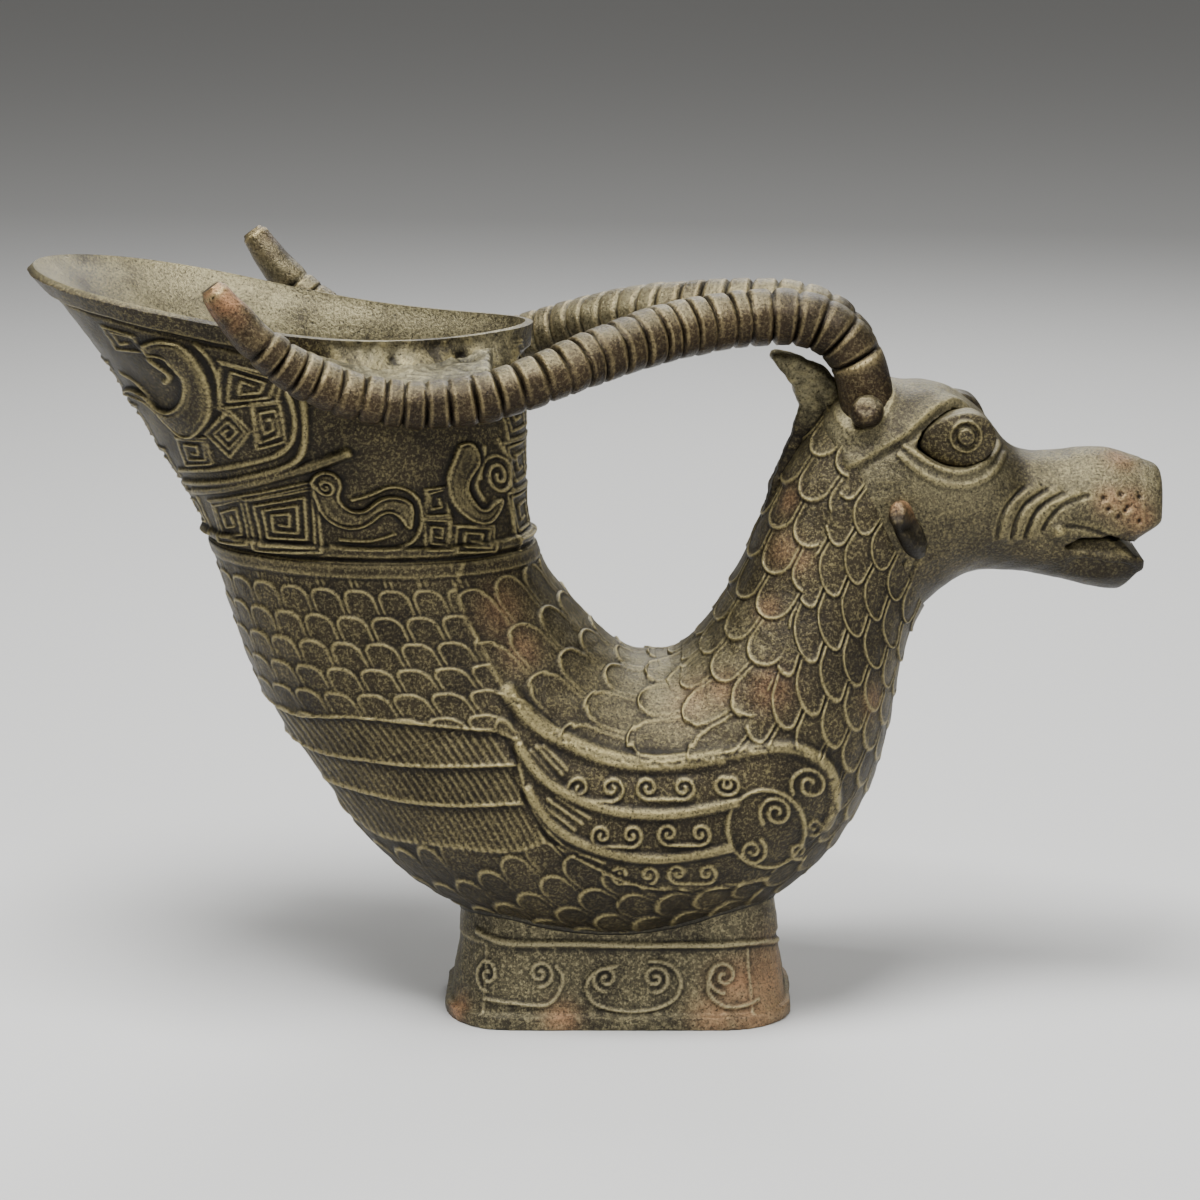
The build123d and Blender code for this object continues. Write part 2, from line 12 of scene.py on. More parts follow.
import bpy
import numpy as np
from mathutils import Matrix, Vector

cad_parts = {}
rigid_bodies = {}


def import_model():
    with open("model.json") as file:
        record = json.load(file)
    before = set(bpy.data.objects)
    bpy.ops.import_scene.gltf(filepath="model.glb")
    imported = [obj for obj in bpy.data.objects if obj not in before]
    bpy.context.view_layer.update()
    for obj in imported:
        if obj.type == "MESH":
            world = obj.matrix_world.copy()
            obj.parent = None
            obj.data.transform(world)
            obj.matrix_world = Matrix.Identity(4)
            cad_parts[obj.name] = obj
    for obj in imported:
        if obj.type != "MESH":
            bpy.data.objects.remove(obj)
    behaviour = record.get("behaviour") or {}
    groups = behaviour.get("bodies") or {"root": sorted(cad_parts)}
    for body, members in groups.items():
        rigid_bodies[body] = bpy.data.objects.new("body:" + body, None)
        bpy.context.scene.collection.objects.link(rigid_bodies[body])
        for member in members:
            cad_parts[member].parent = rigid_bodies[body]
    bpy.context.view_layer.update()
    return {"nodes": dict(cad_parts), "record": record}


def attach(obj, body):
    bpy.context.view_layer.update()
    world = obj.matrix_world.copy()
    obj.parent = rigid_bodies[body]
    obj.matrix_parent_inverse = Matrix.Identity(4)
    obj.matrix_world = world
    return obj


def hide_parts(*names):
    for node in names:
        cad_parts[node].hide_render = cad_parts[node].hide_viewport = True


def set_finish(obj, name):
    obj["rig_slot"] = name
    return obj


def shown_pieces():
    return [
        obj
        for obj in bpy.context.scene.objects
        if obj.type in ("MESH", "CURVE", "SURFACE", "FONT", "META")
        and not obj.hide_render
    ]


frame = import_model()
MM = 0.001
SEAT = 17.0
ABOVE_SEAT = np.array((0.0, 0.0, SEAT))
NODES = {name: bpy.data.objects[name] for name in frame["nodes"]}
print("solids:", len(NODES))

# %% [markdown]
# ## The camera
# The photograph looks at the cup's right side from a little above. Its lens and height were found
# from the foot's outline, and a place in the photograph can then be sent back as a line of sight.
# That is how the ornament finds its place: a line of sight meets the wall, and the wall keeps it.

# %% Set up the camera
PHOTO = 1200
EYE_PLACE = Vector((-3.2, -596.8, 212.3))
EYE_PITCH = math.radians(13.29)
LENS = 108.0
SENSOR = 36.0
PIXELS = LENS / SENSOR * PHOTO

bpy.ops.object.select_all(action="DESELECT")
bpy.ops.object.camera_add(location=EYE_PLACE * MM, rotation=(math.pi / 2 - EYE_PITCH, 0, 0))
camera = bpy.context.object
camera.name = "photo_camera"
camera.data.lens = LENS
camera.data.sensor_width = SENSOR
bpy.context.scene.camera = camera


def sight(px, py):
    """The direction of the line of sight through a place in the photograph."""
    side, drop = (px - PHOTO / 2) / PIXELS, (py - PHOTO / 2) / PIXELS
    ahead = Vector((0, math.cos(EYE_PITCH), -math.sin(EYE_PITCH)))
    above = Vector((0, math.sin(EYE_PITCH), math.cos(EYE_PITCH)))
    return (ahead + Vector((side, 0, 0)) - above * drop).normalized()


# Where a line of sight just misses a solid, an upright plane at this depth stands in for it.
PLANE_OF = {"vessel_body": -12.0, "head": -9.0, "foot_ring": -16.0, "horn_braze_right": -25.0}


def seen(px, py, node):
    """Where a line of sight meets a solid, in mm, with the height above the foot's seat."""
    aim = sight(px, py)
    hit, place, _, _ = NODES[node].ray_cast(EYE_PLACE * MM, aim)
    if not hit:
        place = (EYE_PLACE + aim * ((PLANE_OF[node] - EYE_PLACE.y) / aim.y)) * MM
    return np.array(place) / MM - ABOVE_SEAT


def side_view(node, pixels):
    """Places in the photograph on a solid, as side-view coordinates."""
    return np.array([seen(px, py, node)[[0, 2]] for px, py in pixels])


def spots_on(node, spots):
    """Spots given by a pixel and further values, with their places on a solid instead."""
    return [(seen(*pixel, node), *values) for pixel, *values in spots]


print("camera at", tuple(round(v) for v in EYE_PLACE), "mm")

# %% [markdown]
# ## The vessel's wall
# The real vessel is one hollow casting that bends from cup to bird to neck. It is described by a
# row of cross-sections, from the mouth round the belly to the neck joint, with a smooth curve
# through each of their sizes. A wall point is then known by its station and its angle.

# %% The cross-sections and the smooth curve through them
# back x, back z, front x, front z, half-width, swell; heights are above the foot's seat.
SECTIONS = np.array([
    (-14.6, 105.5, -101.0, 115.5, 26.8, 0.30),
    (-15.7, 95.0, -88.0, 99.5, 23.4, 0.26),
    (-15.8, 82.0, -77.5, 82.0, 21.2, 0.14),
    (-14.8, 64.5, -69.0, 66.0, 20.2, 0.0),
    (-10.0, 56.0, -63.2, 46.6, 21.4, 0.0),
    (-3.0, 48.5, -52.2, 26.2, 23.0, 0.0),
    (1.5, 45.2, -36.2, 7.4, 24.0, 0.0),
    (5.0, 44.8, -2.0, -5.0, 24.0, 0.0),
    (9.5, 45.3, 31.5, 7.1, 23.0, 0.0),
    (14.0, 48.8, 43.0, 23.4, 21.0, 0.0),
    (18.9, 56.1, 46.8, 39.5, 18.2, 0.0),
    (23.0, 65.0, 48.2, 46.5, 15.8, 0.0),
    (28.5, 77.5, 49.3, 50.0, 14.4, 0.0),
    (34.5, 87.0, 51.0, 53.5, 13.8, 0.0),
])
COLLAR_SECTION, FLANK_SECTION, KEEL_SECTION, BREAST_SECTION, JOINT_SECTION = 3, 5, 7, 10, 13
RIM_LINE = np.array([
    (-112.0, 114.4), (-98.2, 112.0), (-82.0, 109.2), (-66.0, 106.2),
    (-46.0, 102.8), (-30.0, 101.8), (-15.0, 102.3), (-4.0, 103.2),
])
WALL = 2.8
LIP_WALL = 1.3


def smooth_curve(knots, values):
    """A function that runs smoothly through values at knots, with free ends."""
    step = np.diff(knots)
    slope = np.diff(values, axis=0) / step[:, None]
    count = len(knots)
    system = np.eye(count)
    right = np.zeros_like(values)
    for k in range(1, count - 1):
        system[k, k - 1:k + 2] = step[k - 1], 2 * (step[k - 1] + step[k]), step[k]
        right[k] = 6 * (slope[k] - slope[k - 1])
    bend = np.linalg.solve(system, right)

    def at(place):
        place = np.asarray(place, float)
        k = np.clip(np.searchsorted(knots, place) - 1, 0, count - 2)
        a, b = (knots[k + 1] - place)[..., None], (place - knots[k])[..., None]
        h = step[k][..., None]
        return (
            (bend[k] * a ** 3 + bend[k + 1] * b ** 3) / (6 * h)
            + (values[k] / h - bend[k] * h / 6) * a
            + (values[k + 1] / h - bend[k + 1] * h / 6) * b
        )
    return at


ends = np.diff(SECTIONS[:, :4], axis=0)
STATIONS = np.concatenate([[0], np.cumsum((np.hypot(*ends[:, :2].T) + np.hypot(*ends[:, 2:].T)) / 2)])
section_at = smooth_curve(STATIONS, SECTIONS)
rim_at = smooth_curve(RIM_LINE[:, 0], RIM_LINE[:, 1:])


def wall_point(station, angle, grow=0.0):
    """Wall points in mm, heights above the seat; angle 0 is the front, pi the back."""
    bx, bz, fx, fz, half, swell = np.moveaxis(section_at(station), -1, 0)
    length = np.hypot(fx - bx, fz - bz)
    reach = np.cos(angle) * (1 + 2 * grow / length) / 2
    wide = (half * (1 + swell * np.cos(angle)) + grow) * np.sin(angle)
    return np.stack([(fx + bx) / 2 + (fx - bx) * reach, wide, (fz + bz) / 2 + (fz - bz) * reach], -1)


def unit(vectors):
    """Vectors brought to a length of 1."""
    return vectors / np.linalg.norm(vectors, axis=-1, keepdims=True)


def wall_normal(station, angle):
    """Outward directions of the wall."""
    along = wall_point(station + 0.2, angle) - wall_point(station - 0.2, angle)
    around = wall_point(station, angle + 0.01) - wall_point(station, angle - 0.01)
    return unit(np.cross(around, along))


# Columns stand closer on the sides, which carry the ornament, than at front and back.
ROUND = 512
SIDE_CROWDING = 0.33
ANGLES = 2 * np.pi * np.arange(ROUND) / ROUND
ANGLES = ANGLES + SIDE_CROWDING / 2 * np.sin(2 * ANGLES)
HALVINGS = 40
low, RIM_STATION = np.zeros(ROUND), np.full(ROUND, STATIONS[1])
for _ in range(HALVINGS):
    half = (low + RIM_STATION) / 2
    place = wall_point(half, ANGLES)
    above = place[:, 2] > rim_at(place[:, 0])[:, 0]
    low, RIM_STATION = np.where(above, half, low), np.where(above, RIM_STATION, half)
print("wall length along the stations:", round(float(STATIONS[-1])), "mm")

# %% [markdown]
# ## Drawing relief
# A mould maker presses lines, scales and panels into clay before the bronze is poured. Here every
# wall point carries a height, and each mark raises or lowers it: strokes follow a drawn line,
# panels fill an outline, and scales overlap like roof tiles.

# %% Helpers that draw heights


def soft_step(value):
    """0 below 0, 1 above 1, and a smooth rise between."""
    value = np.clip(value, 0, 1)
    return value * value * (3 - 2 * value)


def hill(gap, width):
    """1 where a gap is nothing, falling smoothly to almost 0 at twice the width."""
    return np.exp(-(gap / width) ** 2)


def run_along(points):
    """Distances along a line of points."""
    return np.concatenate([[0], np.cumsum(np.linalg.norm(np.diff(points, axis=0), axis=1))])


def closed(outline):
    """An outline with its first point again at the end."""
    return np.vstack([outline, outline[:1]])


def rounded(points, parts=8):
    """A finer line that runs smoothly through points."""
    points = np.asarray(points, float)
    if len(points) < 3:
        return points
    knots = run_along(points)
    return smooth_curve(knots, points)(np.linspace(0, knots[-1], parts * (len(points) - 1) + 1))


def line_on(node, pixels):
    """A rounded line in side view through places in the photograph on a solid."""
    return rounded(side_view(node, pixels))


def line_distance(a, b, line):
    """How far points (a, b) lie from a line, and how far along it their foot is."""
    best = np.full(a.shape, 1e9)
    along = np.zeros(a.shape)
    done = 0.0
    for (p, q), (r, s) in zip(line, line[1:]):
        run = math.hypot(r - p, s - q) or 1e-9
        share = np.clip(((a - p) * (r - p) + (b - q) * (s - q)) / run ** 2, 0, 1)
        gap = np.hypot(a - p - share * (r - p), b - q - share * (s - q))
        nearer = gap < best
        best = np.where(nearer, gap, best)
        along = np.where(nearer, done + share * run, along)
        done += run
    return best, along


def inside(a, b, outline):
    """Whether points (a, b) lie inside a closed outline."""
    found = np.zeros(a.shape, bool)
    for (p, q), (r, s) in zip(outline, np.roll(outline, -1, axis=0)):
        crosses = (q > b) != (s > b)
        found ^= crosses & (a < (r - p) * (b - q) / ((s - q) or 1e-9) + p)
    return found


def depth_inside(a, b, outline):
    """How far points (a, b) lie inside a closed outline, negative outside."""
    gap, _ = line_distance(a, b, closed(outline))
    return np.where(inside(a, b, outline), gap, -gap)


STROKE_SLOPE = 0.8
PANEL_EDGE_SHARE = 0.25


class Relief:
    """Heights over a set of points that can be drawn on in two flat coordinates."""

    def __init__(self, a, b):
        self.a, self.b = a, b
        self.ground, self.raised, self.sunk = (np.zeros(a.shape) for _ in range(3))

    def height(self):
        """The ground with all marks on it."""
        return self.ground + self.raised - self.sunk

    def near(self, line, margin):
        """Which points lie near a line's bounds."""
        lo, hi = line.min(axis=0) - margin, line.max(axis=0) + margin
        return (self.a > lo[0]) & (self.a < hi[0]) & (self.b > lo[1]) & (self.b < hi[1])

    def mark(self, pick, share, height):
        """Keep the higher of two raised marks, or the deeper of two sunk ones."""
        layer = self.raised if height > 0 else self.sunk
        layer[pick] = np.maximum(layer[pick], abs(height) * share)

    def stroke(self, line, width, height):
        """Raise, or with a negative height sink, a rounded ridge along a line."""
        pick = self.near(line, width)
        if pick.any():
            gap, _ = line_distance(self.a[pick], self.b[pick], line)
            self.mark(pick, soft_step((1 - gap / width) / STROKE_SLOPE), height)

    def panel(self, outline, height, edge):
        """Raise the inside of an outline, with a soft edge."""
        pick = self.near(outline, edge)
        if pick.any():
            depth = depth_inside(self.a[pick], self.b[pick], outline)
            self.mark(pick, soft_step(PANEL_EDGE_SHARE + depth / edge), height)

    def wipe(self, share, level):
        """Smooth a part over to a level."""
        self.ground = self.ground * (1 - share) + level * share
        self.raised, self.sunk = self.raised * (1 - share), self.sunk * (1 - share)


SCALE_RIM_INSET, SCALE_RIM_WIDTH, SCALE_EDGE = 0.36, 0.26, 0.4
SCALE_SLANT, SCALE_RIM, SCALE_DOME, SCALE_RISE = 0.36, 0.34, 0.12, 0.22


def scales(across, along, width, pitch, corner=0.5):
    """Heights of overlapping scales; their rounded ends point down the along axis."""
    radius = corner * width

    def tile(row):
        a = across / width + 0.5 * (row % 2)
        a = (a - np.round(a)) * width
        d = along - row * pitch
        edge = radius - np.hypot(np.maximum(np.abs(a) + radius - width / 2, 0), np.maximum(radius - d, 0))
        return a, d, edge

    # A point past the end of its row's scale shows the scale of the row beneath.
    row = np.floor(along / pitch)
    for _ in range(2):
        row = np.where(tile(row)[2] < 0, row - 1, row)
    a, d, edge = tile(row)
    rim = hill(edge - SCALE_RIM_INSET, SCALE_RIM_WIDTH)
    dome = 1 - (2 * a / width) ** 2
    top = SCALE_SLANT * (1 - d / (2.0 * pitch)) + SCALE_RIM * rim
    return top + (SCALE_DOME * dome + SCALE_RISE) * soft_step(edge / SCALE_EDGE)


rng = np.random.default_rng(7)


def unevenness(points, size, waves=14):
    """A slow random swell over points, about -1 to 1, with bumps of a size in mm."""
    total = np.zeros(points.shape[:-1])
    for _ in range(waves):
        aim = rng.normal(size=3)
        aim *= 2 * np.pi / (size * rng.uniform(0.7, 1.6)) / np.linalg.norm(aim)
        total += np.sin(points @ aim + rng.uniform(0, 2 * np.pi))
    return total / math.sqrt(waves)


print("relief helpers ready")

# %% [markdown]
# ## Turning heights into meshes
# Each wall piece starts as a torus, because a torus is already a closed wall: its small circle is
# pulled down the outside and back up the inside. A Subdivision modifier makes it finer, and its
# points are moved to their places on the wall, raised by the drawn heights. The same heights say
# where old wear and dirt sit and where the relief catches light or falls into shade, so they are
# kept on the mesh as a colour layer: red for rubbed ridges and painted highlights, green for
# hollows darkened by dirt and painted shade, blue for copper, and alpha for dust, which upward
# faces also get as painted light from above.

# %% Helpers that paint wear, dirt, and painted light and shade
# How strongly upward faces are painted light as dust, how strongly downward faces are painted dark as shade,
# and how much copper keeps dust and that painted light off.
DUST_AND_LIGHT_ON_TOP, SHADE_BELOW, COPPER_SHEDS_DUST = 0.7, 0.36, 0.8


def blurred(values, edges, rounds):
    """Values averaged with their neighbours over a mesh, some rounds long."""
    first, second = edges
    count = len(values)
    share = np.maximum(np.bincount(edges.ravel(), minlength=count), 1)
    for _ in range(rounds):
        total = np.bincount(first, values[second], count) + np.bincount(second, values[first], count)
        values = (values + total / share) / 2
    return values


def read(elements, name, width, kind=np.float32):
    """One value of all of a mesh's points or edges, a row for each."""
    flat = np.empty(width * len(elements), kind)
    elements.foreach_get(name, flat)
    return flat.reshape(-1, width)


def mesh_points(mesh):
    """A mesh's points in mm."""
    return read(mesh.vertices, "co", 3).astype(float) / MM


def paint_wear_and_light(
    piece, height, copper=0.0, dust=0.0, ridge_gain=8.0, hollow_gain=6.0, shade_and_grime=0.0, marked=1.0, reach=8
):
    """Keep the wear, dirt, copper and dust that follow from heights as a colour layer, with painted
    highlights on ridges, painted shade in hollows and under downward faces, and painted light on upward
    faces.
    """
    mesh = piece.data
    edges = read(mesh.edges, "vertices", 2, np.int32).T
    close = blurred(height, edges, reach)
    around = blurred(close, edges, reach + 2)
    facing = read(mesh.vertices, "normal", 3)[:, 2]
    lit = soft_step((facing - 0.25) / 0.75)
    # Downward faces are painted dark as the shade below them, in the hollow channel.
    shade_and_grime = shade_and_grime + SHADE_BELOW * soft_step((-facing - 0.1) / 0.6)
    layer = np.ones((len(mesh.vertices), 4), np.float32)
    # Red lightens ridges, as wear and as painted highlights.
    layer[:, 0] = np.clip((height - close) * ridge_gain - shade_and_grime, 0, 1) * marked
    # Green darkens hollows, as dirt and as painted shade, and adds the painted shade passed in.
    layer[:, 1] = np.clip((0.6 * close + 0.4 * around - height) * hollow_gain + shade_and_grime, 0, 1) * marked
    layer[:, 2] = np.clip(copper, 0, 1)
    # Alpha is dust, with painted light from above on upward faces, less where copper shows.
    on_top = DUST_AND_LIGHT_ON_TOP * lit * (1 - COPPER_SHEDS_DUST * layer[:, 2])
    layer[:, 3] = np.clip(np.maximum(dust, on_top), 0, 1)
    # The layer named wear also holds the painted light and shade.
    mesh.attributes.new("wear", "FLOAT_COLOR", "POINT").data.foreach_set("color", layer.ravel())


print("wear helpers ready")

# %% Helpers that make pieces
SMOOTH_ANGLE = math.radians(70)


def make_active(piece):
    """Select one piece alone."""
    bpy.ops.object.select_all(action="DESELECT")
    piece.select_set(True)
    bpy.context.view_layer.objects.active = piece


@contextlib.contextmanager
def editing(piece):
    """Edit mode on one piece."""
    make_active(piece)
    bpy.ops.object.mode_set(mode="EDIT")
    yield
    bpy.ops.object.mode_set(mode="OBJECT")


def apply_modifier(piece, kind, **settings):
    """Give the active piece a modifier and apply it."""
    step = piece.modifiers.new(kind.lower(), kind)
    for name, value in settings.items():
        setattr(step, name, value)
    bpy.ops.object.modifier_apply(modifier=step.name)


def finish_piece(piece, slot, node):
    """Shade a finished piece smoothly, let it ride on the vessel and stand for its solid."""
    make_active(piece)
    bpy.ops.object.shade_smooth_by_angle(angle=SMOOTH_ANGLE)
    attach(piece, "root")
    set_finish(piece, slot)
    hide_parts(node)
    piece.data.calc_loop_triangles()
    print(piece.name, "triangles:", len(piece.data.loop_triangles))


def set_points(mesh, points):
    """Move a mesh's points to places given in mm."""
    mesh.vertices.foreach_set("co", (np.asarray(points) * MM).astype(np.float32).ravel())
    mesh.update()


def face_out(piece):
    """Turn all faces of a closed piece outward."""
    with editing(piece):
        bpy.ops.mesh.select_all(action="SELECT")
        bpy.ops.mesh.normals_make_consistent(inside=False)


RING_RADIUS, TUBE_RADIUS = 60.0, 20.0


def torus_wall(name, outer, inner):
    """A closed wall from rows of outer points and rows of inner points, both from the top down."""
    loop = np.concatenate([outer, inner[::-1]])
    rows = len(loop)
    bpy.ops.object.select_all(action="DESELECT")
    bpy.ops.mesh.primitive_torus_add(
        major_segments=ROUND // 2, minor_segments=rows // 2,
        major_radius=RING_RADIUS * MM, minor_radius=TUBE_RADIUS * MM,
    )
    piece = bpy.context.object
    piece.name = name
    apply_modifier(piece, "SUBSURF", subdivision_type="SIMPLE", levels=1)
    x, y, z = mesh_points(piece.data).T
    column = np.round(np.arctan2(y, x) / (2 * np.pi) * ROUND).astype(int) % ROUND
    row = np.round(np.arctan2(z, np.hypot(x, y) - RING_RADIUS) / (2 * np.pi) * rows).astype(int) % rows
    set_points(piece.data, loop[row, column] + ABOVE_SEAT)
    face_out(piece)
    # The cells slant, so they are split along their short diagonal, or slanting lines would look toothed.
    apply_modifier(piece, "TRIANGULATE", quad_method="SHORTEST_DIAGONAL")
    return piece, row, column


print("mesh helpers ready")

# %% [markdown]
# ## Laying out the five walls
# The casting is cut into five pieces of wall, from the cup to the neck, so that each mesh can be
# fine enough for the ornament and still stay light. The cup has the finest lines, so it is made in
# two strips. All share their end rows, so no seam shows.
# The cup is drawn on unrolled, by the distance round from its side and the height over the collar,
# and the bird is drawn on in side view.

# %% Lay out the walls
OUTER_ROWS, INNER_ROWS = 174, 20
HALF, QUARTER = ROUND // 2, ROUND // 4
NEIGHBOURS, NEAREST = 5, 0.01


def side_arc(points):
    """Each row's distance round from the middle of the side, forward positive."""
    step = np.linalg.norm(np.roll(points, -1, axis=1) - points, axis=2)
    walked = np.concatenate([np.zeros((len(points), 1)), np.cumsum(step, axis=1)[:, :-1]], axis=1)
    arc = walked[:, QUARTER:QUARTER + 1] - walked
    arc[:, HALF + 1:] = arc[:, HALF - 1:0:-1]
    return arc


def run_down(points):
    """Each column's distance from its first row."""
    step = np.linalg.norm(np.diff(points, axis=0), axis=2)
    return np.concatenate([np.zeros((1, points.shape[1])), np.cumsum(step, axis=0)])


class Wall:
    """One piece of the vessel's wall with its points, directions and relief."""

    def __init__(self, first, last, *names):
        rows = len(names) * (OUTER_ROWS - 1) + 1
        share = np.linspace(0, 1, rows)[:, None]
        self.names, self.first, self.last = names, first, last
        self.points, self.out = self.surface(share)
        self.arc = side_arc(self.points)
        self.run = run_down(self.points)
        self.relief = Relief(self.points[..., 0], self.points[..., 2])

    def surface(self, share):
        """Points of rows at shares of the way down, and their outward directions."""
        stations = self.first + (self.last - self.first) * share + np.zeros((len(share), ROUND))
        angles = np.broadcast_to(ANGLES, stations.shape)
        return wall_point(stations, angles), wall_normal(stations, angles)

    def place(self, pixels):
        """The flat coordinates of places in the photograph, on the near side."""
        near = self.points[:, HALF:].reshape(-1, 3)
        flat = np.stack([self.relief.a[:, HALF:].ravel(), self.relief.b[:, HALF:].ravel()], -1)
        found = []
        for px, py in pixels:
            gap = ((near - seen(px, py, "vessel_body")) ** 2).sum(axis=1)
            close = np.argpartition(gap, NEIGHBOURS)[:NEIGHBOURS]
            found.append(np.average(flat[close], axis=0, weights=1 / (gap[close] + NEAREST)))
        return np.array(found)


NECK_LAP = 1.1
cuts = STATIONS[[COLLAR_SECTION, FLANK_SECTION, KEEL_SECTION, BREAST_SECTION, JOINT_SECTION]]
cuts[-1] += NECK_LAP
cup = Wall(RIM_STATION[None, :], cuts[0], "lip_wall", "cup_wall")
bird = [
    Wall(first, last, name)
    for first, last, name in zip(cuts, cuts[1:], ("flank_wall", "belly_wall", "breast_wall", "neck_wall"))
]
flank, neck = bird[0], bird[-1]
over_collar = cup.run[-1] - cup.run
cup.relief = Relief(cup.arc, over_collar)
walked = 0.0
for wall in bird:
    wall.from_collar = walked + wall.run
    walked = wall.from_collar[-1]
for wall in bird:
    wall.to_joint = walked - NECK_LAP - wall.from_collar
print("wall points:", sum(w.points[..., 0].size for w in (cup, *bird)))

# %% [markdown]
# ## Ornament of the cup
# Round the cup run a turned-out lip, two zones of angular thunder spirals with raised cloud hooks
# among them, and a double collar band. Each spiral is one line that winds inward between the
# corners of a field, and each hook is a raised panel with a thin line along its edge.

# %% Draw the cup's ornament
LINE_WIDTH = 0.37
LINE_HEIGHT = 0.46
FIELD_GROWTH, FIELD_WINDING = 1.1, 0.94
SPIRAL_STEPS = 26


def thunder(corners, turns, flip=False):
    """A line that winds inward between four corners."""
    if flip:
        corners = corners[[1, 0, 3, 2]]
    middle = corners.mean(axis=0)
    corners = middle + (corners - middle) * FIELD_GROWTH
    steps = int(round(turns * 4))
    turn = np.arange(steps + 1)
    reach = 1 - FIELD_WINDING * np.maximum(turn - 3, 0) / (steps - 2)
    return middle + (corners[turn % 4] - middle) * reach[:, None]


def spiral(middle, radius, turns, start=0.0, turn=1.0, inner=0.12):
    """A round line that winds inward about a middle."""
    share = np.linspace(0, 1, int(SPIRAL_STEPS * turns) + 2)
    angle = start + turn * 2 * np.pi * turns * share
    reach = radius * (1 - (1 - inner) * share)
    return np.asarray(middle) + np.stack([reach * np.cos(angle), reach * np.sin(angle)], -1)


# Fields of angular spirals: their corners in the photograph, turns, and whether they wind the other way.
THUNDER_FIELDS = (
    (((221, 363), (279, 379), (274, 400), (219, 407)), 3.3, False),
    (((207, 433), (228, 411), (249, 431), (230, 455)), 3.2, False),
    (((252, 405), (279, 403), (284, 440), (258, 447)), 3.2, True),
    (((177, 438), (205, 438), (211, 462), (186, 464)), 2.7, False),
    (((104, 327), (134, 336), (141, 350), (117, 348)), 1.8, True),
    (((211, 505), (240, 500), (245, 543), (219, 540)), 3.1, True),
    (((246, 502), (312, 490), (317, 550), (256, 549)), 4.7, False),
    (((425, 520), (450, 519), (452, 549), (427, 549)), 2.8, False),
    (((427, 491), (447, 489), (448, 514), (428, 515)), 1.9, True),
    (((457, 527), (493, 527), (495, 551), (459, 551)), 2.8, False),
)
for corners, turns, flip in THUNDER_FIELDS:
    cup.relief.stroke(thunder(cup.place(corners), turns, flip), LINE_WIDTH, LINE_HEIGHT)

# Broad smooth hooks: their outlines in the photograph and their heights.
CRESCENT = ((142, 347), (158, 343), (179, 348), (197, 366), (209, 389), (211, 410), (202, 428), (185, 435),
            (169, 428), (154, 412), (137, 399), (127, 391), (141, 396), (157, 406), (169, 411), (180, 405),
            (185, 392), (182, 377), (172, 365), (158, 357), (145, 355))
CLOUD = ((312, 481), (320, 473), (333, 474), (340, 483), (338, 496), (347, 509), (362, 513), (379, 502),
         (397, 498), (410, 504), (413, 517), (409, 528), (400, 517), (389, 513), (374, 521), (358, 529),
         (339, 527), (324, 517), (316, 500))
LONG_HOOK = ((462, 446), (454, 467), (450, 483), (454, 500), (466, 515), (483, 523), (497, 515), (502, 500),
             (495, 504), (485, 511), (474, 503), (467, 490), (471, 475), (478, 458), (473, 444))
HOOK_EDGE, HOOK_LINE, HOOK_LINE_RISE = 1.1, 0.42, 0.2
for outline, height in ((CRESCENT, 0.75), (CLOUD, 0.8), (LONG_HOOK, 0.7)):
    edge = rounded(closed(cup.place(outline)))
    cup.relief.panel(edge, height, HOOK_EDGE)
    cup.relief.stroke(edge, HOOK_LINE, height + HOOK_LINE_RISE)

# Lines: their places in the photograph, half-widths and heights.
CUP_STROKES = (
    # the tongue inside the crescent and the line that follows its back
    (((148, 362), (160, 367), (170, 376), (165, 382)), 0.7, 0.6),
    (((196, 345), (210, 360), (219, 384), (221, 410)), 0.5, 0.5),
    (((120, 372), (140, 386), (152, 398)), 0.5, 0.4),
    # the rounded double border of the upper panel
    (((288, 394), (293, 410), (294, 436), (284, 452), (258, 463), (222, 470), (180, 470)), 0.75, 0.6),
    (((302, 396), (305, 432), (299, 458), (268, 473), (228, 481), (184, 482)), 0.9, 0.75),
    # the slanted ridge and its thin companion
    (((190, 494), (235, 488), (268, 480), (310, 468), (347, 453)), 1.25, 0.85),
    (((206, 502), (243, 496), (312, 482)), 0.45, 0.4),
    # the volute on the cloud's head and its outline
    (((352, 500), (372, 494), (393, 487), (415, 496), (422, 521), (413, 541), (377, 549), (331, 546)),
     0.5, 0.5),
    (((340, 540), (372, 541), (395, 534)), 0.45, 0.4),
    # the inner line of the long hook, and the border strip along the back edge
    (((484, 447), (482, 468), (477, 487), (484, 500)), 0.5, 0.45),
    (((506, 436), (511, 480), (515, 520), (522, 552)), 0.5, 0.4),
    (((498, 440), (503, 452), (514, 460)), 0.5, 0.4),
)
for line, width, height in CUP_STROKES:
    cup.relief.stroke(rounded(cup.place(line)), width, height)
# Middle and radius in the photograph, turns, way of winding and height.
VOLUTES = (((326, 487), 10, 1.6, -1, 1.3), ((499, 476), 15, 2.1, 1, 0.5))
VOLUTE_WIDTH = 0.5
for (px, py), radius, turns, turn, height in VOLUTES:
    centre, edge = cup.place([(px, py), (px + radius, py)])
    cup.relief.stroke(spiral(centre, math.dist(centre, edge), turns, turn=turn), VOLUTE_WIDTH, height)

# Fields of the same spirals go on round the front and the back, which the photograph hides.
HIDDEN_ROWS = (6.0, 14.5, 23.0, 31.5)
HIDDEN_HALF, HIDDEN_GAP, HIDDEN_TURNS = 3.7, 0.5, 2.8
FIELD_CORNERS = np.array(((-1, 1), (1, 1), (1, -1), (-1, -1)))
for over in HIDDEN_ROWS:
    row = int(np.abs(over_collar[:, 0] - over).argmin())
    aside = HIDDEN_GAP + HIDDEN_HALF
    for arc in (cup.arc[row, 0] - aside, cup.arc[row, HALF] + aside):
        field = (arc, over) + HIDDEN_HALF * FIELD_CORNERS
        cup.relief.stroke(thunder(field, HIDDEN_TURNS), LINE_WIDTH, LINE_HEIGHT)

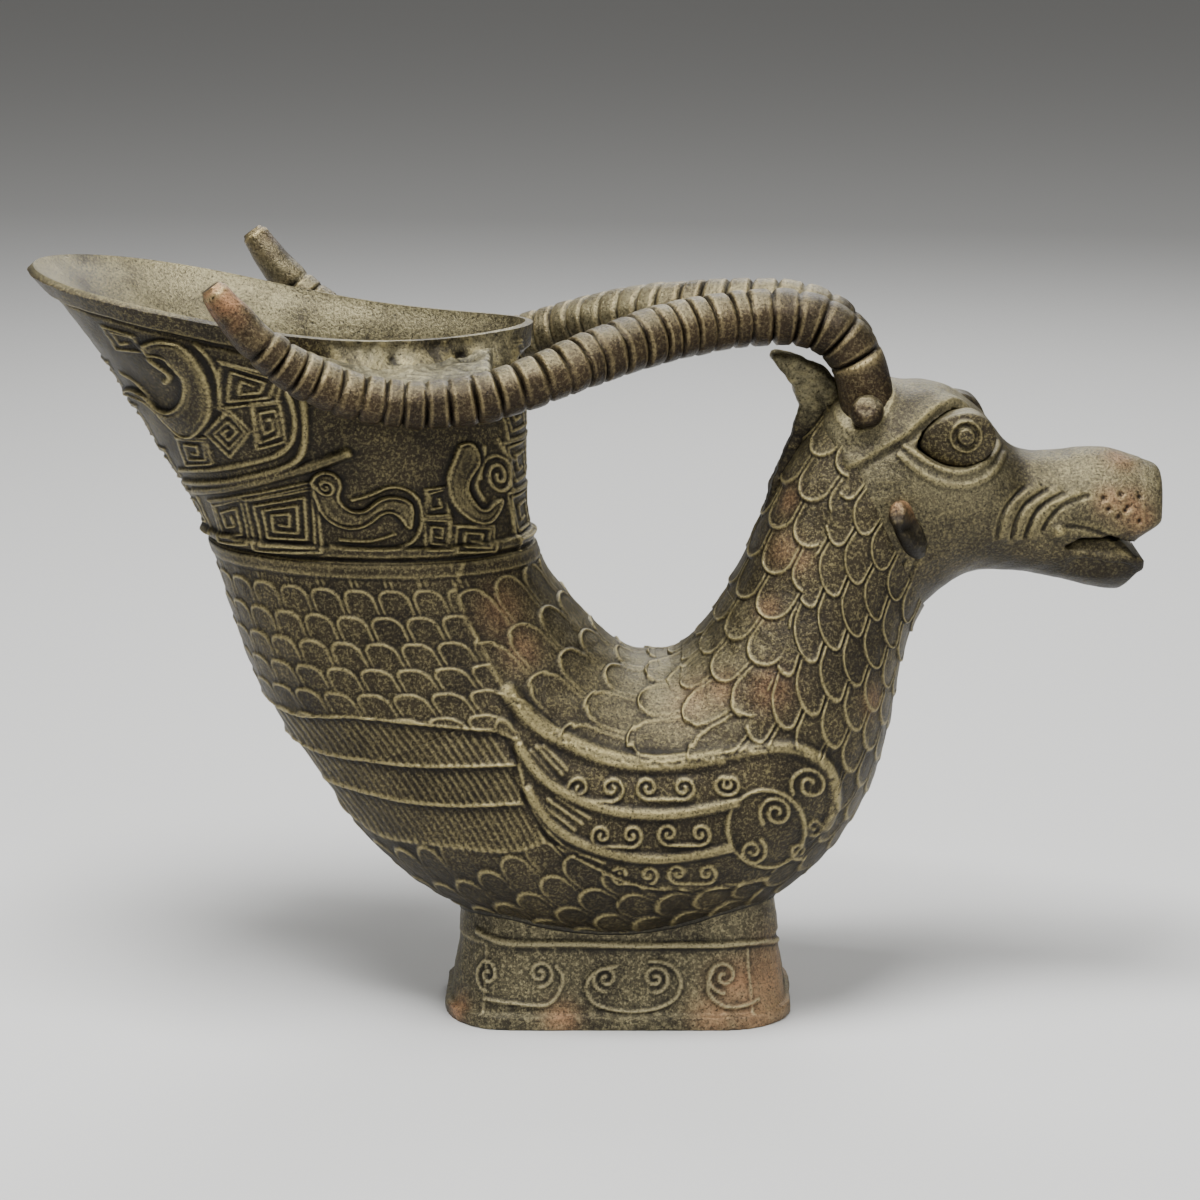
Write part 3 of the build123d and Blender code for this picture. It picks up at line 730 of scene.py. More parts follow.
# The turned-out lip, and the double collar band between cup and bird.
LIP_BAND, LIP_RISE, LIP_GROOVE = 4.2, 0.62, 0.40
COLLAR_HALF, COLLAR_RISE, COLLAR_GROOVE = 2.7, 0.85, 0.75
cup.relief.ground += LIP_RISE * soft_step((LIP_BAND - cup.run) / 0.9 + 0.5)
cup.relief.ground -= LIP_GROOVE * hill(cup.run - LIP_BAND - 0.9, 0.6)
for wall, over in ((cup, over_collar), (flank, -flank.run)):
    wall.relief.ground += COLLAR_RISE * soft_step((COLLAR_HALF - np.abs(over)) / 0.7 + 0.5)
    wall.relief.ground -= COLLAR_GROOVE * hill(over - 0.5, 0.5)

# Rough filler was run over the lip's outside down to the horn. Its pits have a place, size and depth.
WEB_PITS = (((524, 347), 2.0, 2.2), ((467, 358), 1.6, 1.8), ((393, 367), 1.2, 1.4), ((430, 352), 0.9, 0.9),
            ((495, 362), 1.0, 1.0), ((352, 360), 0.9, 0.9))
web_pits = spots_on("horn_braze_right", WEB_PITS)


def near_side(points):
    """Points with those of the far side mirrored onto the near one."""
    return points * (1, 0, 1) - np.abs(points) * (0, 1, 0)


def pits_at(points, pits):
    """How deep pits go at points; both sides have the same pits."""
    near = near_side(points)
    return sum(depth * hill(np.linalg.norm(near - place, axis=-1), size) for place, size, depth in pits)


FILLER_FIRST, FILLER_LAST, FILLER_DROP = -49.0, -13.0, 9.0
FILLER_LEAST, FILLER_SLOPE = 0.4, 2.6
lumps = 0.6 * unevenness(cup.points, 5.5) + 0.3 * unevenness(cup.points, 2.0, 40)
x, y = cup.points[..., 0], cup.points[..., 1]
filler = soft_step((x - FILLER_FIRST) / 5) * soft_step((FILLER_LAST - x) / 3)
filler = filler * soft_step((FILLER_DROP - cup.run) / 1.6) * soft_step(np.abs(y) / 4 - 1)
level = FILLER_LEAST + FILLER_SLOPE * soft_step((cup.run - 0.8) / 5.0) + 0.2 * lumps
level -= pits_at(cup.points + cup.out * level[..., None], web_pits)
cup.relief.wipe(filler, level)
print("cup strokes:", len(CUP_STROKES) + len(THUNDER_FIELDS))

# %% [markdown]
# ## The bird's scales and feathers
# Scales cover the bird: broad ones on cup and neck, and a strip of long ones through the saddle
# and up the cup's back. Three bands of hatched feathers lie beside the wing, under the cup. Each
# zone has an outline, and its scales are laid by distances on the wall, so they keep their size.

# %% Draw scales and feathers
RIDGE_ONE = ((255, 700), (290, 711), (340, 717), (400, 723), (450, 729), (492, 733))
RIDGE_TWO = ((285, 742), (320, 751), (362, 760), (405, 766), (460, 768), (516, 767))
RIDGE_THREE = ((325, 782), (360, 791), (395, 800), (430, 805), (475, 807), (522, 805))
FEATHER_FOOT = ((340, 815), (380, 832), (420, 842), (470, 848), (520, 850), (548, 842))
BACK_BORDER = ((462, 560), (455, 590), (470, 630), (490, 668), (507, 694))
WING_TOP = ((507, 694), (530, 722), (560, 742), (614, 763), (667, 767), (721, 760))
NAPE_LINE = ((721, 760), (760, 706), (790, 632), (816, 556), (836, 505), (858, 462))
WING_FRONT = ((721, 760), (775, 750), (801, 752), (826, 769), (833, 795), (826, 822), (800, 850), (762, 878))
WING_FOOT = ((515, 742), (520, 779), (534, 814), (560, 844), (600, 868), (641, 884), (694, 887), (762, 878))
back_border, wing_top, nape_line, wing_front, wing_foot, *ridges = (
    line_on("vessel_body", pixels)
    for pixels in (BACK_BORDER, WING_TOP, NAPE_LINE, WING_FRONT, WING_FOOT,
                   RIDGE_ONE, RIDGE_TWO, RIDGE_THREE, FEATHER_FOOT)
)

# Each zone is closed by further points, most of them beyond the vessel's outline.
BEYOND_SADDLE = ((70, 100), (20, 100), (10, 40), (-8, 62), (-10, 90))
BEYOND_NECK = ((30, -20), (90, -20), (90, 70), (60, 90))
BEYOND_CUP = ((-90, 34), (-90, 90), (-25, 90))
BEYOND_FEATHERS = ((-75, 8), (-90, 40))
# How many points of the wing's lines border the feathers and carry the front ridge.
WING_FOOT_BEHIND, WING_FRONT_ABOVE = 40, 40
saddle_zone = np.vstack([back_border, wing_top, nape_line, BEYOND_SADDLE])
neck_zone = np.vstack([nape_line[::-1], wing_front, BEYOND_NECK])
cup_zone = np.vstack([back_border, ridges[0][::-1], BEYOND_CUP])
feather_zone = np.vstack([ridges[0], wing_foot[:WING_FOOT_BEHIND], ridges[3][::-1], BEYOND_FEATHERS])
SPINE = ((-11.0, 90.0), (-12.0, 70.0), (-9.0, 56.0), (-3.0, 46.0), (6.0, 41.0), (15.0, 42.5), (23.0, 51.0),
         (29.0, 63.0), (35.0, 76.0), (42.0, 88.0))
spine = rounded(SPINE)

# Width and pitch of the scales in each zone, and the roundness of their ends where it is not full.
SADDLE_SCALE, NECK_SCALE, BELLY_SCALE, CUP_SCALE = (7.4, 6.8), (6.2, 5.8), (6.4, 5.6), (5.5, 4.8, 0.42)
# Rows are counted from so far away that their numbers stay positive.
BELLY_START, NECK_START = 200, 300
HATCH_PITCH, HATCH_HEIGHT = 1.35, 0.22
BAND_RISE, BAND_SLOPE, CUP_BAND_RISE = 0.75, 2.6, 0.35
# Half-widths and heights of the feather bands' ridges and of the line between cup and saddle.
RIDGE_LINE, BORDER_LINE = (0.55, 0.35), (0.8, 0.18)


def saddle_scales(from_back, a, b):
    """Heights of the long scales that follow the line of the back."""
    _, spine_run = line_distance(a, b, spine)
    return scales(from_back, spine_run + 0.5, *SADDLE_SCALE)


def lay_scales(wall):
    """Scale and feather heights over one wall piece of the bird."""
    a, b = wall.relief.a, wall.relief.b
    from_back = wall.arc - wall.arc[:, HALF:HALF + 1]
    # The belly's rows run aslant.
    height = scales(0.6 * a - 0.8 * wall.arc, 0.8 * a + 0.6 * wall.arc + BELLY_START, *BELLY_SCALE)
    on_cup, on_neck, on_back = (inside(a, b, zone) for zone in (cup_zone, neck_zone, saddle_zone))
    height = np.where(on_cup, scales(wall.arc, wall.from_collar + 0.4, *CUP_SCALE), height)
    height = np.where(on_neck, scales(wall.arc, NECK_START - wall.to_joint, *NECK_SCALE), height)
    height = np.where(on_back, saddle_scales(from_back, a, b), height)
    # The hatching leans, and fans out a little from band to band.
    lean = a + 0.62 * b - 0.008 * (a + 20) * (b - 30)
    hatch = HATCH_HEIGHT * (0.5 + 0.5 * np.cos(2 * np.pi * lean / HATCH_PITCH))
    rise = np.zeros(a.shape)
    for upper, lower in zip(ridges, ridges[1:]):
        gap, _ = line_distance(a, b, lower)
        between = inside(a, b, np.vstack([upper, lower[::-1]]))
        rise = np.where(between, BAND_RISE * np.exp(-gap / BAND_SLOPE), rise)
    height = np.where(inside(a, b, feather_zone), hatch + rise, height)
    gap, _ = line_distance(a, b, ridges[0])
    height = height + np.where(on_cup, CUP_BAND_RISE * np.exp(-gap / BAND_SLOPE), 0)
    wall.relief.ground += height * soft_step((wall.from_collar - COLLAR_HALF + 0.3) / 0.8)
    for line in ridges[:3]:
        wall.relief.stroke(line, *RIDGE_LINE)
    wall.relief.stroke(back_border, *BORDER_LINE)


for wall in bird:
    lay_scales(wall)
print("scale zones laid on", len(bird), "walls")

# %% [markdown]
# ## The wing
# The wing is a raised panel with a strong ridge on top, three rows of feathers that carry pairs of
# small C-scrolls, and a round shoulder with a double spiral. The panel's own scales are wiped away
# first, then its rows, scrolls and spirals are drawn on it.

# %% Draw the wing
WING_ROWS = (
    ((518, 748), (540, 778), (580, 803), (630, 816), (680, 816), (735, 805)),
    ((528, 792), (552, 826), (590, 848), (640, 859), (690, 857), (728, 848)),
)
# Left, right, top and bottom of each pair of scrolls in the photograph.
SCROLL_PAIRS = ((565, 625, 776, 803), (635, 696, 776, 801), (714, 740, 774, 796), (590, 643, 824, 847),
                (657, 711, 823, 845), (611, 658, 864, 883), (667, 716, 862, 882))
SCROLL_TURNS = 1.4
# Middle and radius in the photograph, turns, start, way of winding and share left at the inner end.
SHOULDER_SPIRALS = (
    ((765, 828), 38, 1.0, 0.4, 1, 1.0),
    ((775, 812), 17, 1.7, 2.4, 1, 0.15),
    ((751, 850), 14, 1.6, 5.4, 1, 0.15),
    ((808, 784), 19, 1.5, 2.6, 1, 0.2),
    ((811, 826), 10, 1.4, 3.2, -1, 0.2),
    ((797, 850), 9, 1.4, 1.0, 1, 0.2),
)
HATCH_LINES = (((530, 752), (556, 782)), ((536, 748), (562, 776)), ((543, 746), (566, 771)),
               ((531, 766), (548, 786)), ((541, 806), (575, 830)), ((548, 800), (582, 824)),
               ((556, 798), (590, 819)), ((566, 846), (604, 862)), ((572, 838), (608, 855)))
wing_outline = np.vstack([wing_top, wing_front, wing_foot[::-1]])


def scroll_pair(left, right, top, bottom):
    """Two small scrolls that share a base line, as pixel lines."""
    radius = (bottom - top) / 2
    ends = left + radius, right - radius
    base = np.array([(end, bottom) for end in ends])
    curls = [
        spiral((end, top + radius), radius, SCROLL_TURNS, math.pi / 2, turn)
        for end, turn in zip(ends, (1, -1))
    ]
    return [base, *curls]


# Lines of the wing on the vessel's side view, with their half-widths and heights.
scrolls = [line for pair in SCROLL_PAIRS for line in scroll_pair(*pair)]
scrolls += [spiral(*values) for values in SHOULDER_SPIRALS]
wing_lines = [(wing_top, 1.9, 0.85), (wing_front[:WING_FRONT_ABOVE], 1.5, 0.65), (wing_foot, 0.9, 0.4)]
wing_lines += [(line_on("vessel_body", line), 1.35, 0.7) for line in WING_ROWS]
wing_lines += [(side_view("vessel_body", line), 0.45, 0.35) for line in HATCH_LINES]
wing_lines += [(side_view("vessel_body", line), 0.42, 0.5) for line in scrolls]
WING_HEIGHT, WING_EDGE = 0.75, 1.1
for wall in bird:
    relief = wall.relief
    relief.wipe(soft_step(depth_inside(relief.a, relief.b, wing_outline) / WING_EDGE), WING_HEIGHT)
    for line, width, height in wing_lines:
        relief.stroke(line, width, height)
print("wing lines:", len(wing_lines))

# %% [markdown]
# ## Making the wall meshes
# The heights are now added to the wall along its outward directions, with a slow swell of a
# fraction of a millimetre, because old castings are never quite even. The inside is left plain.

# %% Make the wall meshes
# Worn spots: their places in the photograph and sizes.
COPPER_SPOTS = (
    ((785, 550), 3.0), ((800, 560), 2.2), ((770, 690), 3.4), ((690, 700), 4.0), ((722, 690), 3.0),
    ((768, 610), 2.2), ((500, 610), 4.0), ((520, 650), 3.2), ((790, 500), 2.4), ((870, 700), 2.6),
)
copper_places = spots_on("vessel_body", COPPER_SPOTS)
COPPER_SHARE = 0.28


def copper_near(points, places):
    """How strongly bare copper shows at points, by their distance from worn spots on either side."""
    shown = np.zeros(points.shape[:-1])
    for place, size in places:
        for side in ((1, 1, 1), (1, -1, 1)):
            gap = np.linalg.norm(points - place * side, axis=-1)
            shown = np.maximum(shown, hill(gap, size))
    return shown


def eased(height):
    """Heights with their steps softened by a cell or so."""
    height = (np.roll(height, 1, axis=1) + 2 * height + np.roll(height, -1, axis=1)) / 4
    padded = np.vstack([height[:1], height, height[-1:]])
    return (padded[:-2] + 2 * height + padded[2:]) / 4


def make_strip(wall, k, outer, height, copper, dust):
    """The closed mesh of one strip of a wall."""
    top = k * (OUTER_ROWS - 1)
    share = np.linspace(k, k + 1, INNER_ROWS)[:, None] / len(wall.names)
    thick = np.full(share.shape, WALL)
    if wall is cup:
        thick = LIP_WALL * (0.5 + 0.5 * soft_step(share * 9)) + (WALL - LIP_WALL) * soft_step(share * 4)
    wall_face, out = wall.surface(share)
    inner = wall_face - out * thick[..., None]
    piece, row, column = torus_wall(wall.names[k], outer[top:top + OUTER_ROWS], inner)
    # Inside points take the wear of the end row next to them, so no line shows where walls meet.
    outside = row < OUTER_ROWS
    nearest = top + np.where(outside, row, np.where(row < OUTER_ROWS + INNER_ROWS // 2, OUTER_ROWS - 1, 0))
    bare = np.where(outside, copper[nearest, column], 0.0)
    settled = np.where(outside, dust[nearest, column], 1.0)
    paint_wear_and_light(piece, height[nearest, column], bare, settled, marked=outside, reach=16)
    finish_piece(piece, "cast_bronze", "vessel_body")


def make_wall(wall):
    """The meshes of one wall."""
    height = eased(wall.relief.height())
    swell = 0.09 * unevenness(wall.points, 11.0) + 0.05 * unevenness(wall.points, 3.5)
    outer = wall.points + wall.out * (height + swell)[..., None]
    copper = COPPER_SHARE * copper_near(wall.points, copper_places)
    dust = 0.9 * filler if wall is cup else np.zeros(height.shape)
    for k in range(len(wall.names)):
        make_strip(wall, k, outer, height, copper, dust)


for wall in (cup, *bird):
    make_wall(wall)

# %% [markdown]
# ## The head
# The head is a casting of its own: a long muzzle, a brow ledge over a set-in eye, wrinkled cheeks
# and a long mouth whose lips nearly meet. A copy of its solid gets an even fine skin by the Remesh
# modifier, which also rounds its cuts, and its features are raised and sunk by Displace modifiers.

# %% Helpers that reskin and raise a solid's copy
WELD = 0.001
LEAST_LIFT = 0.001


def keep_main_shell(piece):
    """Delete the specks that the new skin leaves apart from the piece's main shell."""
    mesh = piece.data
    outermost = int(np.argmax(mesh_points(mesh)[:, 0]))
    for elements in (mesh.vertices, mesh.edges, mesh.polygons):
        elements.foreach_set("select", [False] * len(elements))
    mesh.vertices[outermost].select = True
    with editing(piece):
        bpy.ops.mesh.select_mode(type="VERT")
        bpy.ops.mesh.select_linked()
        bpy.ops.mesh.select_all(action="INVERT")
        bpy.ops.mesh.delete(type="VERT")


def copy_of(node, name, voxel, ease):
    """A copy of a solid with an even fine skin."""
    piece = bpy.data.objects.new(name, NODES[node].data.copy())
    bpy.context.scene.collection.objects.link(piece)
    with editing(piece):
        bpy.ops.mesh.select_all(action="SELECT")
        bpy.ops.mesh.remove_doubles(threshold=WELD * MM)
    piece.data.materials.clear()
    apply_modifier(piece, "REMESH", mode="VOXEL", voxel_size=voxel * MM)
    apply_modifier(piece, "SMOOTH", factor=0.5, iterations=ease)
    keep_main_shell(piece)
    return piece


def raise_skin(piece, height):
    """Raise and sink a piece's skin by heights in mm."""
    make_active(piece)
    for name, sign in (("raised", 1), ("sunk", -1)):
        most = float((sign * height).max())
        if most <= 0:
            continue
        group = piece.vertex_groups.new(name=name)
        for k in np.flatnonzero(sign * height > LEAST_LIFT):
            group.add([int(k)], float(sign * height[k] / most), "REPLACE")
        apply_modifier(piece, "DISPLACE", vertex_group=name, mid_level=0.0, strength=sign * most * MM)
        piece.vertex_groups.remove(piece.vertex_groups[name])


print("skin helpers ready")

# %% Model the head
BROW = ((846, 470), (866, 462), (890, 448), (908, 437), (926, 421), (944, 408), (958, 405), (972, 411),
        (988, 422), (998, 438))
EYE_HOLLOW = ((914, 446), (930, 426), (950, 412), (972, 414), (990, 428), (997, 446), (984, 460), (960, 470),
              (932, 462))
# Lids and folds: their lines in the photograph, half-widths and heights.
LIDS = (
    (((905, 446), (928, 462), (958, 472), (986, 462), (999, 444)), 0.8, 0.35),
    (((900, 455), (926, 476), (958, 486), (988, 477), (1003, 456)), 0.9, 0.35),
)
GROOVES = (
    ((1025, 487), (1006, 508), (997, 537)),
    ((1047, 490), (1023, 508), (1012, 537)),
    ((1064, 494), (1037, 511), (1026, 537)),
    ((1088, 496), (1058, 509), (1043, 529)),
    ((1066, 526), (1094, 531), (1126, 540)),
    ((926, 546), (914, 566), (899, 600)),
    ((905, 560), (884, 590), (872, 620)),
)
FOLDS = (
    (((1036, 488), (1014, 509), (1005, 536)), 1.3, 0.22),
    (((1056, 491), (1030, 510), (1019, 537)), 1.2, 0.22),
    (((1076, 494), (1047, 511), (1034, 536)), 1.4, 0.30),
)
PITS = ((1121, 494), (1128, 507), (1140, 496), (1109, 509), (1126, 510), (1140, 521), (1119, 517),
        (1104, 498))
MOUTH_BEAD = (1059, 532)
SCALED_NAPE = ((780, 380), (846, 472), (862, 500), (868, 530), (900, 562), (925, 606), (890, 640), (780, 600))
HORN_ROOT, HORN_AXIS = np.array((41.6, 5.3, 86.0)), np.array((-0.12, 0.0, 0.99))
HORN_ROOT_RADIUS, ROOT_SWELL = 4.8, 1.3

head = copy_of("head", "beast_head", voxel=0.3, ease=6)
points = mesh_points(head.data) - ABOVE_SEAT

# The lips nearly meet: the jaw's bed rises inside its edge, and the nose's lower corner goes back.
MOUTH_CORNER, JAW_FOOT, JAW_FRONT = (73.8, 65.1), 59.5, 88.2
UPPER_LIP_SLOPE, UPPER_LIP_RISE, JAW_SLOPE, LIP_GAP = 0.6, 1.92, 0.13, 0.6
ahead, up, wide = points[:, 0] - MOUTH_CORNER[0], points[:, 2], np.abs(points[:, 1])
jaw = (up < MOUTH_CORNER[1]) & (up > JAW_FOOT) & (ahead > 0)
marks = np.arange(MOUTH_CORNER[0], JAW_FRONT + 1, 1.0)
widest = [wide[jaw & (np.abs(points[:, 0] - mark) < 0.7)].max(initial=0) for mark in marks]
gape = np.clip(UPPER_LIP_SLOPE * ahead, 0, UPPER_LIP_RISE) + JAW_SLOPE * ahead
bed = soft_step((np.interp(points[:, 0], marks, widest) - wide) / 1.6)
bed = bed * soft_step((JAW_FRONT - points[:, 0]) / 5)
lift = bed * np.clip(gape - LIP_GAP, 0, None) - (1 - bed) * 0.05 * np.clip(ahead - 2, 0, None)
lift = lift * soft_step((up - JAW_FOOT) / 2.5)
NOSE_START, NOSE_TOP, NOSE_SETBACK = 78.0, 69.8, 4.2
nose = (up > MOUTH_CORNER[1]) * soft_step((points[:, 0] - NOSE_START) / 12) * soft_step((NOSE_TOP - up) / 4.4)
points[:, 2] += jaw * lift
points[:, 0] -= NOSE_SETBACK * nose
set_points(head.data, points + ABOVE_SEAT)
near_points = near_side(points)
view = Relief(points[:, 0], points[:, 2])
side_share = soft_step((np.abs(points[:, 1]) - 3.0) / 3.0)
HOLLOW_DEPTH, HOLLOW_EDGE, GROOVE_WIDTH, GROOVE_DEPTH = 0.8, 1.2, 0.6, 0.32
view.panel(rounded(closed(side_view("head", EYE_HOLLOW))), -HOLLOW_DEPTH, HOLLOW_EDGE)
for line, width, height in LIDS + FOLDS:
    view.stroke(line_on("head", line), width, height)
for line in GROOVES:
    view.stroke(line_on("head", line), GROOVE_WIDTH, -GROOVE_DEPTH)

# The brow is a ledge: it rises slowly from the skull and drops sharply over the eye.
BEYOND_BROW = ((75, 120), (20, 120))
BROW_RISE, BROW_DROP = 0.85, 0.4
brow_line = line_on("head", BROW)
gap, _ = line_distance(view.a, view.b, brow_line)
above = np.where(inside(view.a, view.b, np.vstack([brow_line, BEYOND_BROW])), gap, -gap)
ledge = soft_step((above + 0.7) / 1.4)
view.ground += ledge * BROW_RISE * np.exp(-gap / 3.0) - (1 - ledge) * BROW_DROP * np.exp(-gap / 1.6)
for layer in (view.ground, view.raised, view.sunk):
    layer *= side_share
PIT_SIZE, PIT_DEPTH, BEAD_SIZE, BEAD_RISE = 0.45, 0.6, 1.2, 0.9
for pit in PITS:
    gap = np.linalg.norm(near_points - seen(*pit, "head"), axis=1)
    view.sunk = np.maximum(view.sunk, PIT_DEPTH * hill(gap, PIT_SIZE))
gap = np.linalg.norm(near_points - seen(*MOUTH_BEAD, "head"), axis=1)
view.ground += BEAD_RISE * hill(gap, BEAD_SIZE)

# The skull swells up round the root of each horn.
from_root = near_points * (1, -1, 1) - HORN_ROOT
up = from_root @ HORN_AXIS
gap = np.linalg.norm(from_root - up[:, None] * HORN_AXIS, axis=1) - HORN_ROOT_RADIUS
view.ground += ROOT_SWELL * np.exp(-np.maximum(gap, 0) / 1.6) * soft_step((up + 4) / 3)

# The neck's scales run on over the joint, up to the ear.
jx, jz = (SECTIONS[-1, 0] + SECTIONS[-1, 2]) / 2, (SECTIONS[-1, 1] + SECTIONS[-1, 3]) / 2
fx, fz = (SECTIONS[-1, 2] - SECTIONS[-1, 0]) / 2, (SECTIONS[-1, 3] - SECTIONS[-1, 1]) / 2
reach = math.hypot(fx, fz)
forth = ((points[:, 0] - jx) * fx + (points[:, 2] - jz) * fz) / reach
beyond = ((points[:, 0] - jx) * -fz + (points[:, 2] - jz) * fx) / reach
angle = np.arctan2(np.abs(points[:, 1]) / SECTIONS[-1, 4], forth / reach)
arc = np.interp(angle, ANGLES[:HALF + 1], neck.arc[-1, :HALF + 1])
on_back = inside(view.a, view.b, saddle_zone)
back_scales = saddle_scales(arc - neck.arc[-1, HALF], view.a, view.b)
lattice = np.where(on_back, back_scales, scales(arc, NECK_START + beyond, *NECK_SCALE))
scaled = soft_step(depth_inside(view.a, view.b, side_view("head", SCALED_NAPE)) / 2.2)
view.ground += scaled * lattice + (1 - scaled) * 0.3 * soft_step((6 - beyond) / 6)
NOSE_TIP = 88.0
view.ground *= 1 - soft_step((view.a - NOSE_TIP) / 2.5) * (view.ground > 0)
swell = 0.09 * unevenness(points, 9.0) + 0.05 * unevenness(points, 3.0)
height = view.height() + swell * (view.a < NOSE_TIP)
raise_skin(head, np.where(beyond > -0.3, height, 0))
HEAD_COPPER = (((1128, 505), 3.2), ((1140, 518), 2.4), ((1110, 500), 2.4), ((1120, 458), 3.0))
bare = copper_near(points, spots_on("head", HEAD_COPPER))
settled = 0.34 * soft_step((points[:, 2] - JAW_FOOT) / 12) + 0.3 * soft_step((points[:, 2] - 70) / 10)
# The jaw's underside is painted dark as shade.
shaded = 0.4 * soft_step((JAW_FOOT + 5 - points[:, 2]) / 3) * soft_step((points[:, 0] - 60) / 8)
settled = settled * (1 - COPPER_SHEDS_DUST * bare)
paint_wear_and_light(head, height, 0.55 * bare, settled, ridge_gain=5.5, hollow_gain=4.0, shade_and_grime=shaded)
finish_piece(head, "cast_bronze", "head")

# %% [markdown]
# ## The horns
# Two ribbed horns leave the skull, arch back as a double handle and run along the cup. Each is a
# ball with very many rings, drawn out along the horn's line, so both ends are closed. The ribs are
# swellings of uneven width with narrow grooves between them, as a hand-made core leaves them.

# %% Model the horns
HORN_LINE = np.array([
    (41.6, 5.3, 86.0), (40.8, 5.3, 92.4), (38.5, 5.3, 98.2), (34.8, 5.3, 101.8), (29.6, 5.5, 103.6),
    (22.4, 6.4, 103.8), (13.3, 9.2, 103.0), (-4.5, 19.8, 99.3), (-16.7, 25.2, 95.3), (-30.4, 28.2, 93.1),
    (-46.3, 30.5, 96.3), (-57.0, 33.0, 103.6), (-64.5, 34.3, 113.0),
])
HORN_RADII = ((0.0, 4.4), (0.12, 4.6), (0.25, 4.8), (0.38, 4.8), (0.58, 4.1), (0.84, 3.77), (0.93, 3.1),
              (1.0, 2.2))
HORN_RIBS = 29
RIB_RINGS = 14
HORN_SIDES = 36
HORN_SMOOTH_ROOT, HORN_SMOOTH_TIP = 11.5, 12.5
ROOT_RINGS, TIP_RINGS = 18, 26
GROOVE = 0.85
BALL_RADIUS = 10.0
RIB_WIDTHS, RIB_TILT, BARE_TIP = (0.82, 1.18), 0.16, 0.935


def horn_rings(length):
    """Shares along the horn and the groove depths there, from root to tip."""
    first, last = HORN_SMOOTH_ROOT / length, 1 - HORN_SMOOTH_TIP / length
    width = rng.uniform(*RIB_WIDTHS, HORN_RIBS)
    starts = first + (last - first) * np.concatenate([[0], np.cumsum(width)]) / width.sum()
    share, depth = [np.linspace(0, first, ROOT_RINGS, endpoint=False)], [np.zeros(ROOT_RINGS)]
    part = np.arange(RIB_RINGS) / RIB_RINGS
    for start, end in zip(starts, starts[1:]):
        share.append(start + (end - start) * part)
        edge = np.minimum(part, 1 - part)
        rim = 0.13 * hill(edge - 0.19, 0.07)
        depth.append(0.26 * (2 * part - 1) ** 2 + 0.74 * np.exp(-edge / 0.085) - rim)
    share.append(np.linspace(last, 1, TIP_RINGS))
    depth.append(np.exp(-np.linspace(0, 12, TIP_RINGS)))
    return np.concatenate(share), np.concatenate(depth)


def make_horn(name, side):
    """One horn with its ribs; side is -1 for the beast's right."""
    line = HORN_LINE * (1, side, 1)
    knots = run_along(line)
    share, depth = horn_rings(knots[-1])
    count = len(share)
    bpy.ops.object.select_all(action="DESELECT")
    bpy.ops.mesh.primitive_uv_sphere_add(segments=HORN_SIDES, ring_count=count + 1, radius=BALL_RADIUS * MM)
    piece = bpy.context.object
    piece.name = f"ribbed_horn_{name}"
    x, y, z = mesh_points(piece.data).T
    turn = np.arctan2(y, x)
    ring = np.round(np.arccos(np.clip(z / BALL_RADIUS, -1, 1)) / np.pi * (count + 1)).astype(int) - 1
    pole = (ring < 0) | (ring >= count)
    ring = np.clip(ring, 0, count - 1)
    centre = smooth_curve(knots, line)(share * knots[-1])
    aim = unit(np.gradient(centre, axis=0))
    across = unit(np.array([0, 1, 0]) - aim * aim[:, 1:2])
    above = np.cross(aim, across)
    radius = np.interp(share, *zip(*HORN_RADII)) + 0.5 * np.exp(-share * knots[-1] / 2.5)
    end = np.sqrt(np.clip((1 - share) * knots[-1] / 0.7, 0.6, 1))
    tilt = rng.normal(0, RIB_TILT, count // RIB_RINGS + 2)[np.arange(count) // RIB_RINGS]
    groove = GROOVE * depth[ring] * (0.75 + 0.35 * np.sin(turn * 2 + ring * 0.05))
    lean = tilt[ring] * np.cos(turn)
    size = np.where(pole, 0.0, (radius * end)[ring] - groove)
    outward = across[ring] * np.cos(turn)[:, None] + above[ring] * np.sin(turn)[:, None]
    places = centre[ring] + aim[ring] * lean[:, None] + outward * size[:, None]
    swell = 0.10 * unevenness(places, 5.0) * ~pole
    places += outward * swell[:, None]
    set_points(piece.data, places + ABOVE_SEAT)
    face_out(piece)
    # The near horn's tip is rubbed to copper; the far horn has hardly any copper and more dust.
    tip_share, dust = (0.85, 0.0) if side < 0 else (0.1, 0.8)
    bare = soft_step((share[ring] - BARE_TIP) / 0.04) * np.clip(0.7 + 0.5 * unevenness(places, 4.0), 0, 1)
    # Rib crowns are painted light as wear and highlight, and grooves dark as dirt and shade.
    paint_wear_and_light(piece, size - radius[ring], tip_share * bare, dust, ridge_gain=5.5, hollow_gain=2.8)
    finish_piece(piece, "horn_bronze", f"horn_{name}")


make_horn("right", -1)
make_horn("left", 1)

# %% [markdown]
# ## Eyes, ears, pins and crest
# These small castings are set into the head. Their solids already have the right place and seat,
# so copies of them are reskinned finely and given their own marks: rings round the pupil, a
# scooped ear, a lumpy pin head and a rough crest.

# %% Model the small castings
PUPIL = np.array((57.2, 85.0))
EYE_FACE = 11.0
EAR_TIP = (46.6, 14.5, 74.0)
CREST_FOOT = 83.0
# Radius, rise and width of the rings about the pupil.
EYE_RINGS = ((2.5, 0.40, 0.34), (1.75, -0.25, 0.30), (1.1, 0.25, 0.35))

